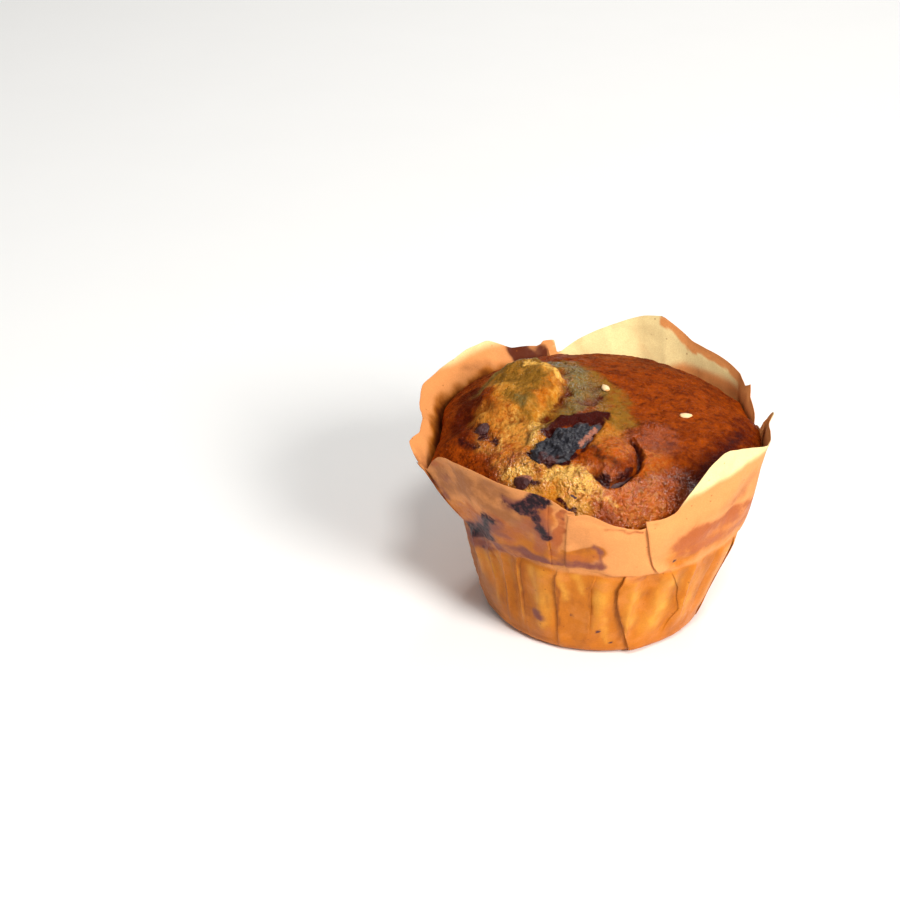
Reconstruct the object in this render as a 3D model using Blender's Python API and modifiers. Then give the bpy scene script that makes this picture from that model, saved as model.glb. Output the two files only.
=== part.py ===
"""A blueberry muffin in its folded parchment tulip case.

The case is one square of greaseproof paper pressed into a round cup. Its four corners stand up as
petals, and the middles of its four sides fold over into pleats. The cake fills the cup, widens with
it above the waist and ends in a lumpy crown. Blueberries sit in pockets of the cake: four open to the
crown, one is hooded by it, and one lies against the paper. Two sesame seeds are stuck to the crown.

The origin is the middle of the underside, +Z is up and the front of the muffin faces -Y.
"""

import math

import bmesh
import bpy
from mathutils import Vector

MM = 0.001

# Driving dimensions
BASE_RADIUS = 27.7 * MM
BASE_FILLET = 2.6 * MM
WAIST_RADIUS = 34.2 * MM  # the crease that the tin's rim pressed into the paper
WAIST_HEIGHT = 27.0 * MM
BULGE = 0.8 * MM  # how far the wall swells between the waist and the rim
RIM_RADIUS = 42.0 * MM  # a plain round rim, before the petals are shaped
RIM_HEIGHT = 50.0 * MM
CROWN_HEIGHT = 56.0 * MM
CROWN_MIDDLE = -3.0 * MM  # along X
PAPER = 0.4 * MM  # a wall of two or three layers of paper, pleated together
GAP = 0.3 * MM  # between pieces that touch
CAKE_INSET = 0.8 * MM  # from the paper's outer face to the cake, level, on the slanted wall
HOOD_SLOT = 1.3 * MM  # radius of the crescent that opens beside the hooded berry

# The case leans: how far its middle is from the axis along +X, by height, both in millimetres
LEAN = ((0.0, 0.0), (27.0, 0.7), (45.0, -3.4), (70.0, -3.4))

# Where the crown turns in from the paper: azimuth in degrees, then height in millimetres
EDGE = ((0, 45.0), (13, 45.0), (60, 45.0), (104, 44.0), (130, 43.2), (170, 42.0), (200, 41.0),
        (250, 42.5), (289, 40.8), (310, 42.0), (340, 44.5), (360, 45.0))

# The paper's rim, anticlockwise from +X: azimuth in degrees, then radius and height in millimetres
RIM = (
    (4, 42.8, 50.0), (9, 43.8, 51.0), (13, 41.4, 46.0),  # right pleat
    (26, 43.3, 52.5), (43, 43.5, 53.5), (57, 44.0, 54.5), (69, 45.5, 58.5), (75, 45.0, 57.5),
    (90, 43.4, 53.0), (98, 42.0, 50.0),  # back petal
    (104, 41.0, 47.3), (108, 42.2, 50.0),  # back pleat
    (122, 42.1, 50.0), (130, 43.0, 52.3), (153, 42.6, 51.0), (168, 42.3, 50.4),  # left petal
    (184, 41.3, 47.7), (192, 41.0, 47.0), (200, 44.5, 48.0), (204, 42.5, 42.0),  # left pleat
    (210, 41.5, 45.0), (218, 42.5, 50.0), (236, 43.5, 53.0), (259, 42.5, 51.0),
    (266, 40.6, 46.5), (272, 41.0, 47.0), (280, 40.0, 44.0),  # front petal
    (289, 38.7, 42.5), (291, 38.3, 43.8), (303, 38.6, 44.5),  # front pleat
    (307, 39.5, 49.0), (312, 41.0, 57.0), (318, 42.0, 59.0), (326, 42.6, 57.5),
    (338, 42.6, 54.0), (346, 43.0, 51.5),  # right petal
)

# Lumps of the crown: middle X and Y, width and rise, in millimetres
LUMPS = (
    (-14.0, 8.0, 13.0, 3.0),
    (-24.0, -4.0, 9.0, 1.2),
    (14.0, -6.0, 14.0, -1.2),
)

# Berries open to the crown: middle X and Y, its depth under the crown, the three half-lengths, all in
# millimetres, and the azimuth in degrees of the longest
CROWN_BERRIES = {
    "blueberry_burst": (-7.4, -19.0, 2.9, (9.5, 4.8, 4.0), 43),
    "blueberry_hooded": (3.0, -24.4, 7.2, (6.2, 6.0, 6.0), 0),
    "blueberry_left": (-27.8, -12.0, 3.6, (4.4, 4.0, 4.0), 30),
    "blueberry_split": (-16.6, -30.0, 3.6, (4.6, 4.2, 4.2), 160),
    "blueberry_rim": (-6.4, -34.2, 2.9, (3.8, 3.3, 3.3), 170),
}
# The berry that lies against the paper: azimuth in degrees, then height and radius in millimetres
SIDE_BERRY = (222, 30.0, 4.4)
# Sesame seeds: middle X and Y, its depth under the crown, the three half-lengths and the azimuth
SEEDS = {
    "sesame_seed_back": (-0.4, 3.1, -0.1, (1.7, 0.95, 0.5), 112),
    "sesame_seed_right": (19.3, -2.1, -0.1, (1.6, 1.0, 0.5), 8),
}
# The crescent beside the hooded berry: its first and last azimuth in degrees, and its radius in mm
HOOD_ARC = (48, -128, 5.6)

CASE_STEPS = 96  # around the case
CAKE_STEPS = 72  # around the cake
FILLET_STEPS = 3


def between(table, key):
    """The values of a table's row at key, on straight lines between its rows."""
    for low, high in zip(table, table[1:]):
        if low[0] <= key <= high[0]:
            share = (key - low[0]) / (high[0] - low[0])
            return [a + (b - a) * share for a, b in zip(low[1:], high[1:])]
    raise ValueError(f"{key} is outside the table")


def outward(azimuth):
    """The level direction at an azimuth in radians."""
    return Vector((math.cos(azimuth), math.sin(azimuth), 0.0))


def lean(height):
    """How far the middle of the case is from the axis, along +X."""
    return between(LEAN, height / MM)[0] * MM


def rim_point(azimuth):
    """The paper's edge at an azimuth in radians."""
    closed = RIM + ((RIM[0][0] + 360, *RIM[0][1:]),)
    turn = math.degrees(azimuth) % 360
    if turn < RIM[0][0]:
        turn += 360
    radius, height = (value * MM for value in between(closed, turn))
    return outward(azimuth) * radius + Vector((lean(height), 0.0, height))


def wall_point(azimuth, height):
    """A point of the paper's outer face above the waist, on a slightly swelling line to the rim."""
    waist = outward(azimuth) * WAIST_RADIUS + Vector((lean(WAIST_HEIGHT), 0.0, WAIST_HEIGHT))
    rim = rim_point(azimuth)
    rise = (height - WAIST_HEIGHT) / (rim.z - WAIST_HEIGHT)
    return waist.lerp(rim, rise) + outward(azimuth) * BULGE * math.sin(math.pi * rise)


def cake_edge(azimuth):
    """Where the crown leaves the paper, at an azimuth in radians."""
    height = between(EDGE, math.degrees(azimuth) % 360)[0] * MM
    return wall_point(azimuth, height) - outward(azimuth) * CAKE_INSET


def crown_over(x, y):
    """The crown's height over a point: a flat-topped dome with its lumps."""
    edge = cake_edge(math.atan2(y, x - CROWN_MIDDLE))
    reach = min(1.0, math.hypot(x - CROWN_MIDDLE, y) / math.hypot(edge.x - CROWN_MIDDLE, edge.y))
    height = edge.z + (CROWN_HEIGHT - edge.z) * (1.0 - reach ** 2.5) ** 0.62
    for middle_x, middle_y, width, rise in LUMPS:
        away = math.hypot(x / MM - middle_x, y / MM - middle_y) / width
        height += rise * MM * math.exp(-away * away) * min(1.0, 3.0 * (1.0 - reach))
    return height


def clear_scene():
    """Remove what a new file holds."""
    for thing in list(bpy.data.objects):
        bpy.data.objects.remove(thing, do_unlink=True)


def collection(name, hidden=False):
    """A new collection in the scene."""
    group = bpy.data.collections.new(name)
    group.hide_render = hidden
    bpy.context.scene.collection.children.link(group)
    return group


def material(name, color, roughness):
    """A plain Principled material."""
    mat = bpy.data.materials.new(name)
    mat.use_nodes = True
    shader = mat.node_tree.nodes["Principled BSDF"]
    shader.inputs["Base Color"].default_value = (*color, 1.0)
    shader.inputs["Roughness"].default_value = roughness
    shader.inputs["Metallic"].default_value = 0.0
    return mat


def evaluated_mesh(obj):
    """The object's evaluated mesh as a new mesh, and the object removed."""
    depsgraph = bpy.context.evaluated_depsgraph_get()
    mesh = bpy.data.meshes.new_from_object(obj.evaluated_get(depsgraph))
    bpy.data.objects.remove(obj)
    return mesh


def turned(name, profile, steps):
    """A mesh turned about Z from a profile of (radius, height) that runs down its outer side."""
    line = bpy.data.meshes.new(name)
    edges = [(i, i + 1) for i in range(len(profile) - 1)]
    line.from_pydata([(radius, 0.0, height) for radius, height in profile], edges, [])
    obj = bpy.data.objects.new(name, line)
    bpy.context.scene.collection.objects.link(obj)
    screw = obj.modifiers.new("turn", "SCREW")
    screw.steps = screw.render_steps = steps
    screw.use_merge_vertices = True
    screw.merge_threshold = 0.00005
    return evaluated_mesh(obj)


def place(name, mesh, mat, group):
    """An object of this name in its collection, shaded smooth."""
    obj = bpy.data.objects.new(name, mesh)
    mesh.materials.clear()
    mesh.materials.append(mat)
    mesh.shade_smooth()
    group.objects.link(obj)
    return obj


def cup_profile(inset, levels):
    """The plain cup's profile, from its rim down to the middle of its bottom.

    inset is how far the surface lies inside the paper's outer face.
    """
    flare = (RIM_RADIUS - WAIST_RADIUS) / (RIM_HEIGHT - WAIST_HEIGHT)
    points = []
    for step in range(levels):
        height = RIM_HEIGHT + (WAIST_HEIGHT - RIM_HEIGHT) * step / levels
        points.append((WAIST_RADIUS + flare * (height - WAIST_HEIGHT) - inset, height))
    slope = (WAIST_RADIUS - BASE_RADIUS) / (WAIST_HEIGHT - BASE_FILLET)
    for height in (WAIST_HEIGHT, WAIST_HEIGHT * 0.7, WAIST_HEIGHT * 0.4):
        points.append((BASE_RADIUS + slope * (height - BASE_FILLET) - inset, height))
    reach = BASE_FILLET - inset
    for step in range(FILLET_STEPS + 1):
        angle = math.radians(90.0 * step / FILLET_STEPS)
        points.append((BASE_RADIUS - BASE_FILLET + reach * math.cos(angle),
                       BASE_FILLET - reach * math.sin(angle)))
    return points + [(BASE_RADIUS / 2, inset), (0.0, inset)]


def paper_case(mat, group):
    """The folded paper: a thin open cup whose rim rises into four petals."""
    mesh = turned("paper_case", cup_profile(0.0, 5), CASE_STEPS)
    for vertex in mesh.vertices:
        point = vertex.co
        if point.z <= WAIST_HEIGHT:
            point.x += lean(max(point.z, 0.0))
            continue
        azimuth = math.atan2(point.y, point.x)
        rise = (point.z - WAIST_HEIGHT) / (RIM_HEIGHT - WAIST_HEIGHT)
        vertex.co = wall_point(azimuth, WAIST_HEIGHT + rise * (rim_point(azimuth).z - WAIST_HEIGHT))
    case = place("paper_case", mesh, mat, group)
    wall = case.modifiers.new("wall", "SOLIDIFY")
    wall.thickness = PAPER
    wall.offset = -1.0
    return case


def cake(mat, group):
    """The baked cake before its pockets are cut: it fills the cup and ends in the crown."""
    side = cup_profile(CAKE_INSET, 4)
    edge_radius = side[0][0]
    rings = (0.0, 0.15, 0.3, 0.44, 0.57, 0.69, 0.79, 0.87, 0.93, 0.975)
    crown = [(edge_radius * reach, RIM_HEIGHT + (1.1 - reach) * MM) for reach in rings]
    mesh = turned("muffin", crown + side, CAKE_STEPS)
    for vertex in mesh.vertices:
        point = vertex.co
        azimuth = math.atan2(point.y, point.x)
        edge = cake_edge(azimuth)
        if point.z <= WAIST_HEIGHT:
            point.x += lean(point.z)
        elif point.z <= RIM_HEIGHT + 0.01 * MM:
            rise = (point.z - WAIST_HEIGHT) / (RIM_HEIGHT - WAIST_HEIGHT)
            height = WAIST_HEIGHT + rise * (edge.z - WAIST_HEIGHT)
            vertex.co = wall_point(azimuth, height) - outward(azimuth) * CAKE_INSET
        else:
            reach = math.hypot(point.x, point.y) / edge_radius
            x = CROWN_MIDDLE + (edge.x - CROWN_MIDDLE) * reach
            vertex.co = (x, edge.y * reach, crown_over(x, edge.y * reach))
    return place("muffin", mesh, mat, group)


def ellipsoid(name, middle, halves, azimuth, mat, group, segments=16):
    """A closed ball stretched to three half-lengths, with the first along the azimuth in degrees."""
    bpy.ops.mesh.primitive_uv_sphere_add(segments=segments, ring_count=segments // 2, radius=1.0)
    obj = bpy.context.object
    obj.scale = halves
    bpy.ops.object.transform_apply(location=False, rotation=False, scale=True)
    obj.location = middle
    obj.rotation_euler = (0.0, 0.0, math.radians(azimuth))
    obj.name = name
    for holder in list(obj.users_collection):
        holder.objects.unlink(obj)
    group.objects.link(obj)
    obj.data.materials.append(mat)
    obj.data.shade_smooth()
    return obj


def cut(piece, cutter):
    """Cut a piece by another, which is kept as a guide and isn't part of the object."""
    cutter.hide_render = True
    cutter.display_type = "WIRE"
    boolean = piece.modifiers.new(cutter.name, "BOOLEAN")
    boolean.object = cutter
    boolean.operation = "DIFFERENCE"
    boolean.solver = "EXACT"


def inclusion(name, middle, halves, azimuth, mat, group, crumb, cutters, segments=16):
    """A berry or seed, and the pocket that it leaves in the cake, a gap larger all round."""
    halves = Vector(halves) * MM
    ellipsoid(name, middle, halves, azimuth, mat, group, segments)
    larger = halves + Vector((GAP, GAP, GAP))
    cut(crumb, ellipsoid(name + "_pocket", middle, larger, azimuth, mat, cutters, segments))


def on_crown(row):
    """The middle of an inclusion that is listed by X, Y and its depth under the crown."""
    x, y, depth = (value * MM for value in row[:3])
    return Vector((x, y, crown_over(x, y) - depth))


def hood_slot(mat, cutters):
    """The crescent that opens the hooded berry's pocket to the crown: a bent round bar."""
    berry = CROWN_BERRIES["blueberry_hooded"]
    first, last, radius = HOOD_ARC
    curve = bpy.data.curves.new("hood_slot", "CURVE")
    curve.dimensions = "3D"
    curve.bevel_depth = HOOD_SLOT
    curve.bevel_resolution = 2
    curve.use_fill_caps = True
    spline = curve.splines.new("POLY")
    steps = 10
    spline.points.add(steps)
    for step, point in enumerate(spline.points):
        azimuth = math.radians(first + (last - first) * step / steps)
        x = (berry[0] + radius * math.cos(azimuth)) * MM
        y = (berry[1] + radius * math.sin(azimuth)) * MM
        point.co = (x, y, crown_over(x, y) - HOOD_SLOT, 1.0)
    obj = bpy.data.objects.new("hood_slot", curve)
    bpy.context.scene.collection.objects.link(obj)
    mesh = evaluated_mesh(obj)
    bm = bmesh.new()
    bm.from_mesh(mesh)
    bmesh.ops.remove_doubles(bm, verts=bm.verts, dist=0.00001)
    bm.to_mesh(mesh)
    bm.free()
    return place("hood_slot", mesh, mat, cutters)


def main():
    """Build the cake, the case, the berries and the seeds."""
    clear_scene()
    pieces = collection("blueberry_muffin")
    cutters = collection("cutters", hidden=True)
    baked = material("cake", (0.50, 0.21, 0.04), 0.45)
    parchment = material("parchment", (0.72, 0.42, 0.16), 0.55)
    berry = material("blueberry", (0.03, 0.02, 0.06), 0.35)
    sesame = material("sesame", (0.85, 0.62, 0.35), 0.5)

    crumb = cake(baked, pieces)
    paper_case(parchment, pieces)
    for name, row in CROWN_BERRIES.items():
        inclusion(name, on_crown(row), row[3], row[4], berry, pieces, crumb, cutters)
    cut(crumb, hood_slot(berry, cutters))

    azimuth, height, radius = SIDE_BERRY
    turn = math.radians(azimuth)
    inward = CAKE_INSET + radius * MM + 0.5 * MM
    middle = wall_point(turn, height * MM) - outward(turn) * inward
    inclusion("blueberry_side", middle, (radius,) * 3, azimuth, berry, pieces, crumb, cutters)

    for name, row in SEEDS.items():
        inclusion(name, on_crown(row), row[3], row[4], sesame, pieces, crumb, cutters, segments=12)


main()
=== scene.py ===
"""The looks of a blueberry muffin that stands in its folded parchment tulip case.

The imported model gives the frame: where the paper, the cake, each berry and each seed lie. This file
models each of them finely around it: the pleated paper with its grease and juice stains, the glossy
baked crown with its lumps and pockets, the burst and wrinkled berries and the seeds.
Lengths in tables are in millimetres and azimuths in degrees, anticlockwise from +X.
"""

import logging
import math
from collections.abc import Callable
from dataclasses import dataclass
from enum import Enum

import bpy
import numpy as np
from mathutils import Matrix, Vector


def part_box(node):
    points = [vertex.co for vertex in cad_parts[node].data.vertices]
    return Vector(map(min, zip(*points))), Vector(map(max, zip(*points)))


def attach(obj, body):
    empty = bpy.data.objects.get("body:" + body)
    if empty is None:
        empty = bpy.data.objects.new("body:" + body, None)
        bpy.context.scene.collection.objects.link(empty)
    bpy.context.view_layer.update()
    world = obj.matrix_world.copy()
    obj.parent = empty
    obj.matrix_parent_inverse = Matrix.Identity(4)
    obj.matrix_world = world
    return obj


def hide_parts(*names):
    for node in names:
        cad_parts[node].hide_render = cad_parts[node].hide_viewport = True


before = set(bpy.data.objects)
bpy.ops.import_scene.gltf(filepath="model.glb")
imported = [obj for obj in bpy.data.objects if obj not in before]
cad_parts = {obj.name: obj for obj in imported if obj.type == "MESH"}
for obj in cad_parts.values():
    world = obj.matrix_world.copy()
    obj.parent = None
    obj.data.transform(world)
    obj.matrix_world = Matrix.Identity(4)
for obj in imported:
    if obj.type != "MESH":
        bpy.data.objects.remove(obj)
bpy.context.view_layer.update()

MM = 0.001
BODY = "root"
HEEL = 0.14  # the level at which the base's rounded edge ends and the wall begins
LOG = logging.getLogger("muffin")


class Slot(Enum):
    """The record's material slots."""

    CAKE = "cake"
    PARCHMENT = "parchment"
    BLUEBERRY = "blueberry"
    SESAME = "sesame"


# ---------------------------------------------------------------- numbers over the surface


def ease(value: np.ndarray, low: float, high: float) -> np.ndarray:
    """Rise smoothly from 0 to 1 while the value goes from low to high.

    Args:
        value: Any numbers.
        low: Where the rise starts.
        high: Where it ends, which may be below low.

    Returns:
        Numbers from 0 to 1.
    """
    share = np.clip((value - low) / (high - low), 0.0, 1.0)
    return share * share * (3.0 - 2.0 * share)


def level_turn(azimuth: np.ndarray) -> np.ndarray:
    """The level unit vectors at these azimuths, in degrees."""
    turn = np.radians(azimuth)
    return np.stack([np.cos(turn), np.sin(turn), np.zeros_like(turn)], axis=-1)


def apart(first: np.ndarray, second: float) -> np.ndarray:
    """The signed difference of azimuths, from -180 to 180 degrees."""
    return (np.asarray(first) - second + 180.0) % 360.0 - 180.0


@dataclass(frozen=True)
class Noise:
    """Smooth noise in space that is the same on each run.

    Attributes:
        seed: Which of the noises this is.
    """

    seed: int

    def _hash(self, cell: np.ndarray, salt: int = 0) -> np.ndarray:
        """A number from 0 to 1 for each whole-numbered cell.

        Args:
            cell: Rows of three whole numbers.
            salt: Which of the cell's own numbers this is.

        Returns:
            One number for each cell.
        """
        mixed = cell[..., 0] * 374761393 + cell[..., 1] * 668265263 + cell[..., 2] * 1442695041
        mixed = (mixed + (self.seed + 101 * salt) * 1266489917) & 0xFFFFFFFF
        mixed = ((mixed ^ (mixed >> 15)) * 265443576) & 0xFFFFFFFF
        mixed = ((mixed ^ (mixed >> 13)) * 1274126177) & 0xFFFFFFFF
        return ((mixed ^ (mixed >> 16)) & 0xFFFFFF) / float(0xFFFFFF)

    def smooth(self, points: np.ndarray, size: float) -> np.ndarray:
        """Noise from -1 to 1 whose waves are about this size.

        Args:
            points: Points, in millimetres.
            size: The waves' size, in millimetres.

        Returns:
            One number for each point.
        """
        spot = np.asarray(points) / size + 37.3
        cell = np.floor(spot).astype(np.int64)
        part = spot - cell
        part = part ** 3 * (part * (part * 6.0 - 15.0) + 10.0)
        total = np.zeros(spot.shape[:-1])
        for corner in np.ndindex(2, 2, 2):
            weight = np.prod(np.where(corner, part, 1.0 - part), axis=-1)
            total += weight * self._hash(cell + np.array(corner))
        return total * 2.0 - 1.0

    def layered(self, points: np.ndarray, size: float, layers: int = 4, fall: float = 0.5) -> np.ndarray:
        """Noise with finer and weaker layers on it, from about -1 to 1.

        Args:
            points: Points, in millimetres.
            size: The size of the largest waves, in millimetres.
            layers: How many layers there are, each half the size of the last.
            fall: How strong each layer is, as a share of the last.

        Returns:
            One number for each point.
        """
        total = np.zeros(np.asarray(points).shape[:-1])
        for layer in range(layers):
            total += fall ** layer * Noise(self.seed + layer).smooth(points, size / 2.0 ** layer)
        return total

    def cells(self, points: np.ndarray, size: float) -> np.ndarray:
        """The distance to the nearest of scattered seeds, in cell sizes.

        Args:
            points: Points, in millimetres.
            size: The mean spacing of the seeds, in millimetres.

        Returns:
            0 at a seed, and up to about 1 between them.
        """
        spot = np.asarray(points) / size + 71.9
        cell = np.floor(spot).astype(np.int64)
        nearest = np.full(spot.shape[:-1], 9.0)
        for step in np.ndindex(3, 3, 3):
            other = cell + np.array(step) - 1
            seed = np.stack([self._hash(other, salt) for salt in (1, 2, 3)], axis=-1)
            nearest = np.minimum(nearest, np.linalg.norm(spot - other - seed, axis=-1))
        return nearest


@dataclass(frozen=True)
class Stroke:
    """A line or a spot brushed on a surface: a stain, a groove or a ridge.

    Attributes:
        points: The points that it runs through, in millimetres, or azimuth and height on the wall.
        width: Half its width.
        strength: How strong it is, or how deep.
        soft: How wide its edge is.
    """

    points: tuple
    width: float
    strength: float = 1.0
    soft: float = 1.0

    def away(self, place: np.ndarray, to_plane: Callable | None = None) -> np.ndarray:
        """How far places are from the line that it runs along.

        Args:
            place: Places on the surface, as two lengths each.
            to_plane: Turns the stroke's own azimuths and heights into such places on the unrolled wall.

        Returns:
            The distances.
        """
        line = np.array([to_plane(*point) if to_plane else point for point in self.points], dtype=float)
        if to_plane:
            round_run = 2.0 * math.pi * UNROLL
            line[:, 0] = np.unwrap(line[:, 0], period=round_run)
            shift = line[:, 0].mean() - round_run / 2.0
            place = np.stack([(place[..., 0] - shift) % round_run + shift, place[..., 1]], axis=-1)
        if len(line) == 1:
            return np.linalg.norm(place - line[0], axis=-1)
        nearest = np.full(place.shape[:-1], 1e9)
        for start, end in zip(line, line[1:]):
            run = end - start
            share = np.clip((place - start) @ run / (run @ run), 0.0, 1.0)
            nearest = np.minimum(nearest, np.linalg.norm(place - start - share[..., None] * run, axis=-1))
        return nearest

    def cover(self, place: np.ndarray, to_plane: Callable | None = None) -> np.ndarray:
        """How much of it lies on these places, from 0 to its strength."""
        edge = self.width + self.soft / 2.0
        return self.strength * ease(self.away(place, to_plane), edge, self.width - self.soft / 2.0)


def covered(strokes: tuple, place: np.ndarray, to_plane: Callable | None = None) -> np.ndarray:
    """The strongest of these strokes at each place.

    Args:
        strokes: The strokes.
        place: Places on the surface, as two lengths each.
        to_plane: Turns the strokes' azimuths and heights into places on the unrolled wall.

    Returns:
        The amounts, from 0 to the strongest stroke's strength.
    """
    total = np.zeros(place.shape[:-1])
    for stroke in strokes:
        total = np.maximum(total, stroke.cover(place, to_plane))
    return total


# ---------------------------------------------------------------- the cup's shape


@dataclass(frozen=True)
class Cup:
    """The cup that the paper makes and the cake fills.

    Attributes:
        base_radius: Radius of the flat base, above its rounded edge.
        fillet: Radius of the base's edge.
        waist_radius: Radius at the crease that the tin's rim pressed.
        waist_height: Height of that crease.
        bulge: How far the wall swells between the waist and the rim.
        leans: Height and how far the middle stands along +X there.
        rim: Azimuth, radius and height of the paper's edge.
    """

    base_radius: float = 27.7
    fillet: float = 2.6
    waist_radius: float = 34.2
    waist_height: float = 27.0
    bulge: float = 0.8
    leans: tuple = ((0.0, 0.0), (27.0, 0.7), (45.0, -3.4), (70.0, -3.4))
    rim: tuple = (
        (2, 42.9, 50.2), (5, 43.2, 50.3), (7, 43.9, 51.6), (10, 43.8, 51.4), (11.5, 42.2, 47.0),
        (14, 41.4, 46.0), (19, 42.0, 48.6), (24, 43.0, 50.2), (26, 43.9, 53.0), (28, 43.2, 51.3),
        (43, 43.5, 53.5), (57, 44.0, 54.5), (65, 45.1, 57.3), (69, 45.6, 58.6), (75, 45.0, 57.7),
        (90, 43.4, 53.0), (98, 42.0, 50.0), (103, 41.1, 47.5),
        (104.5, 41.0, 47.3), (105.5, 42.2, 49.9), (109.5, 42.3, 50.2), (111, 41.6, 49.2),
        (122, 42.0, 49.9), (130, 43.0, 52.3), (141, 43.0, 52.0), (153, 42.6, 51.0), (168, 42.3, 50.4),
        (184, 41.3, 47.7), (192, 41.3, 47.0), (197, 43.4, 47.8), (200.5, 44.8, 48.2), (202.5, 43.8, 45.0),
        (204.5, 42.3, 42.3), (207, 41.6, 43.0), (211, 41.6, 46.4), (216, 42.4, 49.8), (222, 43.0, 51.7),
        (229, 43.4, 52.8), (238, 43.4, 52.9), (248, 43.0, 52.0), (259, 42.5, 51.0), (263, 41.9, 49.4),
        (266, 40.7, 46.6), (268, 40.7, 46.6), (271, 41.0, 47.2), (275, 40.6, 46.2), (280, 40.0, 44.1),
        (285, 39.2, 42.6), (289, 38.8, 41.9), (290.6, 38.6, 42.0), (291.4, 38.9, 44.3), (297, 38.6, 44.1),
        (303, 38.6, 44.6), (307, 39.5, 49.0), (312, 41.0, 56.4), (316, 41.8, 58.8), (319, 42.1, 59.0),
        (326, 42.6, 57.6), (338, 42.6, 54.0), (346, 43.0, 51.6), (355, 42.9, 50.4),
    )

    def lean(self, height: np.ndarray) -> np.ndarray:
        """How far the middle of the cup stands along +X at these heights."""
        return np.interp(height, *zip(*self.leans))

    def rim_at(self, azimuth: np.ndarray) -> tuple[np.ndarray, np.ndarray]:
        """The rim's radius and height at these azimuths, with its corners a little rounded.

        Args:
            azimuth: The azimuths.

        Returns:
            The radii and the heights.
        """
        turns, radii, heights = zip(*self.rim)
        radius = np.zeros(np.shape(azimuth))
        height = np.zeros(np.shape(azimuth))
        shifts = (-0.6, -0.3, 0.0, 0.3, 0.6)
        for shift in shifts:
            radius += np.interp(azimuth + shift, turns, radii, period=360) / len(shifts)
            height += np.interp(azimuth + shift, turns, heights, period=360) / len(shifts)
        return radius, height

    def height_at(self, azimuth: np.ndarray, level: np.ndarray) -> np.ndarray:
        """The height of a level: -1 to 0 is the flat base, 1 the waist and 2 the rim.

        Args:
            azimuth: Where the places are.
            level: Their levels.

        Returns:
            The heights.
        """
        low = np.interp(level, *self._low_knots(0.0)[::2])
        high = self.waist_height + (self.rim_at(azimuth)[1] - self.waist_height) * (level - 1.0)
        return np.where(level <= 1.0, low, high)

    def level_at(self, azimuth: np.ndarray, height: np.ndarray) -> np.ndarray:
        """The level above the waist that has this height."""
        return 1.0 + (height - self.waist_height) / (self.rim_at(azimuth)[1] - self.waist_height)

    def _low_knots(self, inset: float) -> tuple[list, list, list]:
        """Level, radius and height of the profile's knots from the base's middle to the waist.

        Args:
            inset: How far inside the paper's outer face they lie.

        Returns:
            The levels, the radii and the heights.
        """
        turn = np.radians(np.linspace(0.0, 90.0, 6))
        flat = self.base_radius - self.fillet
        round_in = self.fillet - inset
        levels = [-1.0, *np.linspace(0.0, HEEL, 6), 1.0]
        radii = [0.0, *(flat + round_in * np.sin(turn)), self.waist_radius - inset]
        heights = [inset, *(self.fillet - round_in * np.cos(turn)), self.waist_height]
        return levels, radii, heights

    def face(self, azimuth: np.ndarray, level: np.ndarray, inset: float = 0.0,
             rim_azimuth: np.ndarray | None = None) -> np.ndarray:
        """Points of the cup's outer face, in millimetres.

        Args:
            azimuth: Where the points are.
            level: -1 at the middle of the base, 0 at its flat part's edge, 1 at the waist, 2 at the rim.
            inset: How far inside the paper's outer face the points lie.
            rim_azimuth: Where along the rim the paper at each point ends, if it isn't the same azimuth.

        Returns:
            The points.
        """
        out = level_turn(azimuth)
        levels, radii, heights = self._low_knots(inset)
        low = out * np.interp(level, levels, radii)[..., None]
        low[..., 2] = np.interp(level, levels, heights)
        low[..., 0] += self.lean(low[..., 2])
        radius, height = self.rim_at(azimuth if rim_azimuth is None else rim_azimuth)
        rise = np.clip(level - 1.0, 0.0, 1.2)
        far = self.waist_radius + (radius - self.waist_radius) * rise + self.bulge * np.sin(np.pi * rise)
        high = out * (far - inset)[..., None]
        high[..., 2] = self.waist_height + (height - self.waist_height) * rise
        foot = self.lean(self.waist_height)
        high[..., 0] += foot + (self.lean(height) - foot) * rise
        return np.where((level <= 1.0)[..., None], low, high)


CUP = Cup()
UNROLL = 36.0  # radius at which the wall is unrolled to a plane
SEAM = 180.0  # azimuth at which the pleats' order round the case starts


def unrolled(azimuth: np.ndarray, height: np.ndarray) -> np.ndarray:
    """Places on the wall laid flat: the run along the wall and the height."""
    return np.stack([np.radians(apart(azimuth, 0.0)) * UNROLL, np.asarray(height, dtype=float)], axis=-1)


# ---------------------------------------------------------------- work on meshes


def free_selection() -> None:
    """Leave edit mode and deselect every object."""
    if bpy.context.object and bpy.context.object.mode != "OBJECT":
        bpy.ops.object.mode_set(mode="OBJECT")
    bpy.ops.object.select_all(action="DESELECT")


def pick(piece: bpy.types.Object) -> None:
    """Make this the only selected object, and the active one.

    Args:
        piece: The object.
    """
    free_selection()
    piece.select_set(True)
    bpy.context.view_layer.objects.active = piece


def points_of(piece: bpy.types.Object) -> np.ndarray:
    """The piece's vertices as rows of three numbers.

    Args:
        piece: The piece.

    Returns:
        The places, in metres.
    """
    flat = np.empty(len(piece.data.vertices) * 3)
    piece.data.vertices.foreach_get("co", flat)
    return flat.reshape(-1, 3)


def move_points(piece: bpy.types.Object, points: np.ndarray) -> None:
    """Put the piece's vertices at these places, in metres."""
    piece.data.vertices.foreach_set("co", np.ascontiguousarray(points, dtype=np.float32).ravel())
    piece.data.update()


def store(piece: bpy.types.Object, name: str, values: np.ndarray) -> None:
    """Keep one number for each vertex under this name, for the piece's finish to read."""
    layer = piece.data.attributes.new(name, "FLOAT", "POINT")
    layer.data.foreach_set("value", np.ascontiguousarray(values, dtype=np.float32))


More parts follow.
